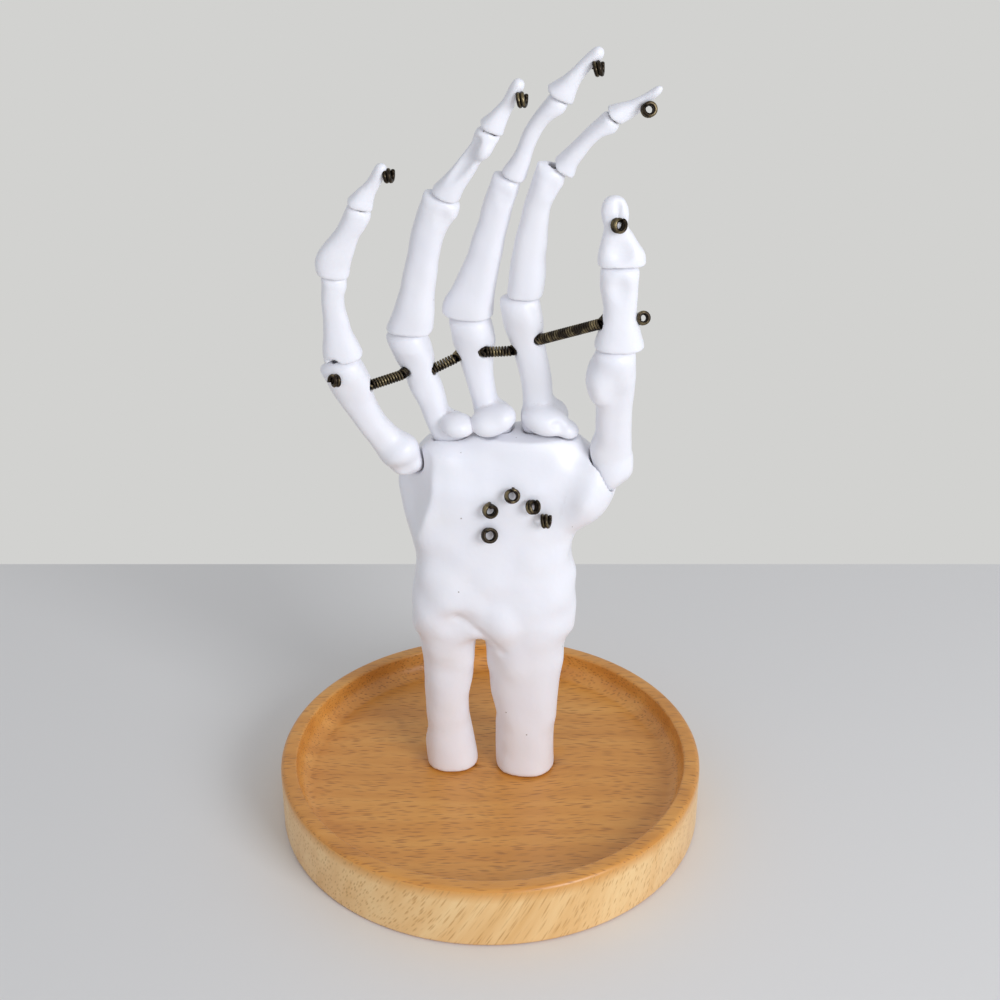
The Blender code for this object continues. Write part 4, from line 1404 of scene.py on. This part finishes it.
@dataclass
class CrossSpring:
    """The close-wound spring across the hand, where it shows between the bones, and its two eyes."""

    node: str = "cross_spring"
    little_eye: EndLoop = EndLoop((-41.0, -11.4, 149.0), (-0.8, -0.55, 0.2), (-38.6, -7.0, 147.4), 3.7)
    thumb_eye: EndLoop = EndLoop((39.9, -16.4, 168.5), (0.15, -0.9, 0.4), (36.0, -16.0, 167.6), 3.8)

    @staticmethod
    def line(start: Array, end: Array) -> Array:
        """A stretch's middle line, straight between two bones and then down into each of them.

        Args:
            start: Where it leaves one bone.
            end: Where it enters the next.

        Returns:
            Four points: inside the first bone, at its surface, at the next one's surface and inside that.
        """
        way = unit(end - start)
        inward = np.array((0.0, CROSS_SINK, 0.0))
        inside = start + unit(inward - way) * CROSS_HIDDEN, end + unit(inward + way) * CROSS_HIDDEN
        return np.array([inside[0], start, end, inside[1]])

    def build(self, brass: Material) -> None:
        """Wind the stretches and bend the eyes.

        Args:
            brass: The spring's material.
        """
        for (first, _, leaves), (second, enters, _) in zip(CROSSINGS, CROSSINGS[1:]):
            bodies = [first, "stand", second]
            if second == "thumb_proximal":
                bodies = [first, "stand", "thumb_metacarpal", second]
            self.stretch(np.array(leaves), np.array(enters), bodies, brass)
        self.little_eye.build(f"{self.node}_little_eye", self.node, CROSSINGS[0][0], brass)
        self.thumb_eye.build(f"{self.node}_thumb_eye", self.node, CROSSINGS[-1][0], brass)

    def stretch(self, start: Array, end: Array, bodies: list[str], brass: Material) -> None:
        """Wind one stretch, in pieces that meet end to end, one for each pair of bodies in turn.

        Args:
            start: Where it leaves one bone.
            end: Where it enters the next.
            bodies: The bodies that it runs between, in order, which set how many pieces there are; the first
                names them.
            brass: The spring's material.
        """
        path, rub_and_highlight_ways = coil(self.line(start, end), CROSS_SPRING_DIAMETER, CROSS_WIRE, CROSS_PITCH)
        count = len(bodies) - 1
        cuts = [round(len(path) * share / count) for share in range(count + 1)]
        for index in range(count):
            part = slice(cuts[index], cuts[index + 1] + 1)
            name = f"{self.node}_{bodies[0]}_{index + 1}"
            piece = wire_mesh(name, path[part], CROSS_WIRE / 2, rub_and_highlight_ways[part])
            bend = (start + (end - start) * index / count, start + (end - start) * (index + 1) / count)
            dress(piece, brass, Slot.BRASS, self.node, bodies[index], bodies[index + 1], bend=bend)


@dataclass
class WristCasting:
    """The wrist and the stubs of the two forearm bones, cast in one and lumpy as if carved by hand.

    Sections give, at a height, the left, right, front and back of a leg or of the body.
    """

    name: str = "wrist_casting"
    foot: float = 12.3
    body: tuple[Section, ...] = (
        (63.0, -21.8, 22.6, -5.0, 13.4),
        (68.0, -22.6, 23.4, -7.8, 15.4),
        (74.0, -22.9, 24.0, -8.8, 16.0),
        (82.0, -22.3, 23.8, -8.8, 16.4),
        (91.0, -22.3, 23.4, -8.4, 16.8),
        (96.5, -23.4, 25.6, -8.4, 17.0),
        (101.0, -24.2, 28.4, -8.4, 17.0),
        (109.0, -24.7, 32.8, -8.6, 17.0),
        (115.0, -24.4, 33.6, -8.2, 16.6),
        (121.0, -21.4, 29.6, -6.4, 15.0),
        (127.0, -14.8, 22.0, -1.6, 12.4),
    )
    ulna: tuple[Section, ...] = (
        (5.0, -18.4, -3.4, -1.8, 11.6),
        (20.0, -19.6, -5.0, -1.5, 11.4),
        (36.0, -19.8, -6.6, -1.5, 11.6),
        (47.0, -20.4, -5.4, -2.5, 12.0),
        (58.0, -21.4, -3.9, -4.8, 12.8),
        (74.0, -22.0, -0.6, -7.4, 14.0),
        (86.0, -20.0, -2.0, -5.0, 13.0),
    )
    radius: tuple[Section, ...] = (
        (5.0, 2.2, 20.6, -4.6, 11.6),
        (26.0, 1.4, 19.5, -4.0, 11.4),
        (42.0, 0.5, 20.9, -4.7, 11.8),
        (56.0, -1.2, 22.4, -7.2, 13.0),
        (64.0, -2.4, 23.2, -8.2, 13.6),
        (74.0, -4.0, 23.2, -8.2, 14.0),
        (86.0, -4.0, 21.0, -5.0, 13.0),
    )
    swellings: tuple[Lump, ...] = (
        Lump((3.8, -3.7, 70.0), (5.8, 6.2, 9.2), -14.0, 2.4),
        Lump((27.4, -1.6, 111.5), (6.6, 7.6, 11.5), 26.0, 3.5),
        Lump((-13.0, 0.8, 120.0), (6.5, 6.4, 6.0), 0.0, 3.0),
        Lump((10.0, 0.8, 125.2), (14.0, 6.0, 4.8), 0.0, 4.5),
    )
    dents: tuple[Lump, ...] = (
        dent((19.4, -19.0, 112.0), (8.8, 11.8, 19.0), 16.0, 3.0),
        dent((-56.4, -22.0, 112.0), (41.4, 41.4, 64.0), 18.0, 0.7),
        dent((-15.8, -12.4, 121.0), (6.5, 6.2, 7.0), 0.0, 2.5),
        dent((-8.6, -14.4, 67.6), (7.6, 7.4, 9.0), 20.0, 3.0),
        dent((3.0, -15.6, 120.4), (20.0, 8.2, 6.0), 0.0, 5.0),
    )
    crease: tuple[Triple, ...] = ((-9.4, -8.4, 72.5), (-3.5, -8.2, 67.3), (3.2, -7.6, 59.5))
    crease_radius: float = 1.1
    crease_soft: float = 1.6
    leg_squareness: float = 2.3
    body_squareness: float = 3.4
    fork_soft: float = 2.4
    end_soft: float = 3.0
    foot_soft: float = 0.6
    seat_reach: float = 22.0
    seat_soft: float = 0.5
    swells: tuple[tuple[float, float, int], ...] = ((0.7, 14.0, 4), (0.42, 6.5, 9))

    def column(self, points: Array, sections: tuple[Section, ...], squareness: float) -> Array:
        """Distances to a column through level sections.

        Args:
            points: Points in the part's frame.
            sections: Heights, with the left, right, front and back there.
            squareness: 2 for an oval and more for a rounded box.

        Returns:
            Distances, below zero inside.
        """
        heights, *sides = zip(*sections)
        left, right, front, back = (through(points[..., 2], heights, side) for side in sides)
        across = np.abs(points[..., 0] - (left + right) / 2) / ((right - left) / 2)
        deep = np.abs(points[..., 1] - (front + back) / 2) / ((back - front) / 2)
        oval = (across**squareness + deep**squareness) ** (1.0 / squareness)
        shape = (oval - 1.0) * np.minimum(right - left, back - front) / 2
        shape = smooth_max(shape, points[..., 2] - heights[-1], self.end_soft)
        return smooth_max(shape, heights[0] - points[..., 2], self.end_soft)

    def build(self, hand: Hand, vinyl: Material) -> None:
        """Model the casting, with the seats of the hand's bones, to stand for the CAD casting.

        Args:
            hand: The bones that sit on it.
            vinyl: The casting's material.
        """
        low, high = (np.array(corner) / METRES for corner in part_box(self.name))
        clay = Clay(low, high, CASTING_CELL)
        points = clay.points
        ulna, radius = (self.column(points, leg, self.leg_squareness) for leg in (self.ulna, self.radius))
        legs = np.minimum(ulna, radius)
        shape = smooth_min(self.column(points, self.body, self.body_squareness), legs, self.fork_soft)
        for lump in (*self.swellings, *self.dents):
            shape = lump.work(shape, points)
        for start, end in zip(self.crease, self.crease[1:]):
            shape = smooth_max(shape, -rod(points, start, end, self.crease_radius), self.crease_soft)
        for height, size, seed in self.swells:
            shape = shape + height * unevenness(points, size, seed)
        shape = smooth_max(shape, self.foot - points[..., 2], self.foot_soft)
        for finger in FINGERS:
            bone = hand.bones[f"{finger.name}_metacarpal"]
            near = np.linalg.norm(points - bone.start, axis=-1) < self.seat_reach
            seat = np.full(shape.shape, FAR)
            bent = bone.tilted(points[near], WRIST_BEND)
            seat[near] = np.minimum(bone.distance(points[near]) - SEAT_GAP, bone.distance(bent) - SEAT_PLAY)
            shape = smooth_max(shape, -seat, self.seat_soft)
        clay.shape = shape
        dress(clay.skin(f"{self.name}_shape"), vinyl, Slot.BONE, self.name, "stand")


def arc(middle: Pair, radius: float, start: float, end: float, steps: int) -> list[Pair]:
    """Profile points along a round edge, from one angle to another in degrees."""
    angles = np.radians(np.linspace(start, end, steps + 1))
    return [(middle[0] + radius * math.cos(a), middle[1] + radius * math.sin(a)) for a in angles]


def turned(name: str, profile: list[Pair], sides: int, middle: Pair = (0.0, 0.0)) -> Piece:
    """Turn a profile into a solid.

    Args:
        name: The piece's name.
        profile: Radii and heights, lowest first, from the axis back to the axis.
        sides: How many sides go round.
        middle: Where its axis stands.

    Returns:
        The piece.
    """
    x, y = middle
    turns = np.linspace(0.0, 2.0 * math.pi, sides, endpoint=False)
    points = [(x, y, profile[0][1])]
    for radius, height in profile[1:-1]:
        points += [(x + radius * math.cos(a), y + radius * math.sin(a), height) for a in turns]
    points.append((x, y, profile[-1][1]))
    faces = []
    last = len(points) - 1
    for side in range(sides):
        after = (side + 1) % sides
        faces.append((0, 1 + after, 1 + side))
        for low in range(1, last - sides, sides):
            faces.append((low + side, low + after, low + sides + after, low + sides + side))
        faces.append((last - sides + side, last - sides + after, last))
    mesh = bpy.data.meshes.new(name)
    mesh.from_pydata(np.array(points) * METRES, [], faces)
    mesh.shade_smooth()
    mesh.set_sharp_from_angle(angle=math.radians(SHARP_ANGLE))
    return link(name, mesh)


def cut(piece: Piece, cutter: Piece) -> None:
    """Cut one shape out of a piece for good.

    Args:
        piece: What is cut.
        cutter: The shape to cut away, which is then removed.
    """
    change = piece.modifiers.new("cut", "BOOLEAN")
    change.operation = "DIFFERENCE"
    change.solver = "EXACT"
    change.object = cutter
    shape = bpy.data.meshes.new_from_object(piece.evaluated_get(bpy.context.evaluated_depsgraph_get()))
    piece.modifiers.clear()
    shape.name = piece.name
    piece.data = shape
    bpy.data.objects.remove(cutter)


@dataclass(frozen=True)
class Screw:
    """A countersunk wood screw with a hexagon socket, driven up through the tray's floor."""

    node: str
    middle: Pair
    diameter: float = 3.8
    head: float = 7.4
    head_height: float = 2.6
    length: float = 30.0
    sunk: float = 0.6
    play: float = 0.4
    point_long: float = 4.0
    point_radius: float = 0.6
    socket_radius: float = 1.6
    socket_deep: float = 1.6
    socket_below: float = 1.0
    sides: int = 48
    socket_sides: int = 6

    def profile(self, play: float) -> list[Pair]:
        """Draw the screw's outline, grown by some play.

        Args:
            play: Zero for the screw itself. The hole that it sits in has some, and starts below the tray.

        Returns:
            Radii and heights.
        """
        shank, head = self.diameter / 2 + play, self.head / 2 + play
        low = -self.sunk if play else self.sunk
        top = self.sunk + self.length + play
        neck = self.sunk + self.head_height + play
        under_head = [(0.0, low), (head, low), (head, self.sunk + play), (shank, neck)]
        return under_head + [(shank, top - self.point_long), (self.point_radius, top), (0.0, top)]

    def build(self, tray: Piece, zinc: Material) -> None:
        """Cut the screw's hole in the tray, and turn the screw.

        Args:
            tray: The tray.
            zinc: The screw's material.
        """
        cut(tray, turned(f"{self.node}_hole", self.profile(self.play), self.sides, self.middle))
        piece = turned(f"{self.node}_shape", self.profile(0.0), self.sides, self.middle)
        low, high, wide = -self.socket_below, self.sunk + self.socket_deep, self.socket_radius
        socket = [(0.0, low), (wide, low), (wide, high), (0.0, high)]
        cut(piece, turned(f"{self.node}_socket", socket, self.socket_sides, self.middle))
        dress(piece, zinc, Slot.ZINC, self.node, "stand")


@dataclass
class Tray:
    """The round beech tray, turned with a coved well, and the two screws through its floor."""

    node: str = "tray"
    diameter: float = 130.0
    height: float = 20.0
    wall: float = 5.0
    well_depth: float = 8.0
    cove: float = 5.0
    rim_round: float = 1.6
    foot_round: float = 1.2
    foot_ring: float = 0.5
    floor_rings: Triple = (0.7, 0.45, 0.2)
    lit_side_slope: float = 0.6
    sides: int = 192
    screws: tuple[Screw, ...] = (Screw("ulna_screw", (-11.4, 4.9)), Screw("radius_screw", (11.1, 3.5)))

    def profile(self) -> list[Pair]:
        """Draw the tray's outline from the middle of its underside, round the rim, to the middle of its well.

        Returns:
            Radii and heights.
        """
        outer, floor = self.diameter / 2, self.height - self.well_depth
        inner, rim, foot = outer - self.wall, self.rim_round, self.foot_round
        points = [(0.0, 0.0), (outer * self.foot_ring, 0.0)]
        points += arc((outer - foot, foot), foot, -90, 0, steps=6)
        points += arc((outer - rim, self.height - rim), rim, 0, 90, steps=8)
        points += arc((inner + rim / 2, self.height - rim / 2), rim / 2, 90, 180, steps=6)
        points += arc((inner - self.cove, floor + self.cove), self.cove, 0, -90, steps=12)
        points += [(inner * share, floor) for share in self.floor_rings]
        return points + [(0.0, floor)]

    def build(self, beech: Material, side: Material, zinc: Material) -> None:
        """Turn the tray and its screws.

        Args:
            beech: The tray's material.
            side: The tray's material round its outer wall: a paler copy of the beech, with painted light.
            zinc: The screws' material.
        """
        tray = turned("tray_dish", self.profile(), self.sides)
        for screw in self.screws:
            screw.build(tray, zinc)
        dress(tray, beech, Slot.BEECH, self.node, "stand")
        # Painted light: the outer wall, which faces the window, gets a paler copy of the beech
        tray.data.materials.append(side)
        outer = (self.diameter / 2 - self.rim_round) * METRES
        for face in tray.data.polygons:
            is_lit_side = face.center.xy.length > outer and abs(face.normal.z) < self.lit_side_slope
            face.material_index = int(is_lit_side)


@dataclass(frozen=True)
class SoftLamp:
    """A square panel of soft light: where it hangs, its side, its power and its colour."""

    name: str
    place: Triple
    size: float
    watts: float
    colour: str

    def hang(self, aim: Triple) -> None:
        """Hang the lamp.

        Args:
            aim: What it points at.
        """
        light = bpy.data.lights.new(self.name, "AREA")
        light.energy = self.watts
        light.size = self.size * METRES
        light.color = linear(self.colour)[:3]
        lamp = bpy.data.objects.new(self.name, light)
        lamp.location = Vector(self.place) * METRES
        lamp.rotation_euler = (Vector(aim) - Vector(self.place)).to_track_quat("-Z", "Y").to_euler()
        bpy.context.scene.collection.objects.link(lamp)


@dataclass
class Studio:
    """A pale floor before a plain wall, soft window light from the front right, and the camera."""

    eye: Triple = (3.0, -381.8, 303.1)
    pitch: float = 27.14
    lens: float = 54.0
    sensor: float = 36.0
    aim: Triple = (0.0, 0.0, 110.0)
    lamps: tuple[SoftLamp, ...] = (
        SoftLamp("window", (560.0, -690.0, 470.0), 420.0, 5.1, "F5F8FF"),
        SoftLamp("room", (-560.0, -700.0, 560.0), 900.0, 0.5, "F6F7FF"),
    )
    wall_colour: str = "D2D2D0"
    light_colour: str = "F1F4FB"
    light_strength: float = 0.56
    floor_half: float = 1600.0
    floor_behind: float = 152.0

    def lay_floor(self) -> None:
        """Lay the painted floor, which ends behind the part."""
        far, deep = self.floor_half, self.floor_behind
        corners = ((-far, -far, 0.0), (far, -far, 0.0), (far, deep, 0.0), (-far, deep, 0.0))
        mesh = bpy.data.meshes.new("floor")
        mesh.from_pydata(np.array(corners) * METRES, [], [(0, 1, 2, 3)])
        mesh.materials.append(PaintedPlaster().make())
        link("floor", mesh)

    def sky(self) -> bpy.types.World:
        """Light the room evenly, and show a plain pale wall to the camera and in what shines.

        Returns:
            The world.
        """
        world = bpy.data.worlds.new("room_light")
        world.use_nodes = True
        tree = world.node_tree
        path = add_node(tree, "ShaderNodeLightPath")
        seen = path.outputs["Is Camera Ray"]
        for kind in ("Is Glossy Ray", "Is Transmission Ray"):
            rays = {0: seen, 1: path.outputs[kind]}
            seen = add_node(tree, "ShaderNodeMath", {"operation": "MAXIMUM"}, rays).outputs["Value"]
        even = {"Color": linear(self.light_colour), "Strength": self.light_strength}
        light = add_node(tree, "Background", even)
        wall = add_node(tree, "ShaderNodeBackground", {"Color": linear(self.wall_colour)})
        mix = add_node(tree, "ShaderNodeMixShader", {}, {0: seen, 1: light, 2: wall})
        add_node(tree, "World Output", {}, {"Surface": mix})
        return world

    def build(self) -> None:
        """Set up the floor, the light and the camera."""
        self.lay_floor()
        for lamp in self.lamps:
            lamp.hang(self.aim)
        scene = bpy.context.scene
        scene.world = self.sky()
        data = bpy.data.cameras.new("camera")
        data.lens, data.sensor_width = self.lens, self.sensor
        camera = bpy.data.objects.new("camera", data)
        camera.location = Vector(self.eye) * METRES
        camera.rotation_euler = (math.radians(90.0 - self.pitch), 0.0, 0.0)
        scene.collection.objects.link(camera)
        scene.camera = camera
        scene.view_settings.view_transform = "Standard"


def clear_scene() -> None:
    """Remove what Blender starts with."""
    for piece in list(bpy.data.objects):
        bpy.data.objects.remove(piece)


def main() -> None:
    """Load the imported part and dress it, one sub-assembly after another."""
    logging.basicConfig(level=logging.INFO, format="%(name)s: %(message)s")
    clear_scene()
    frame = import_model()
    vinyl, brass = MouldedVinyl().make(), AntiqueBrass().make()
    Studio().build()
    # Painted light: a paler copy of the beech for the tray's outer wall, as the window lights it, turning
    # back to the rim's tone just below the rim
    lit_side_beech = TurnedBeech(
        name="lacquered_beech_side",
        pale="F4D096",
        mid="ECC082",
        deep="E0AE6A",
        fleck_tone="C08E4E",
        edge_tone="D89848",
        grain_tilt=58.0,
        fleck_long_mm=9.0,
    )
    Tray().build(TurnedBeech().make(), lit_side_beech.make(), ZincPlate().make())
    hand = Hand(frame["joints"])
    WristCasting().build(hand, vinyl)
    hand.build(vinyl, brass)
    CrossSpring().build(brass)


if __name__ == "__main__":
    main()
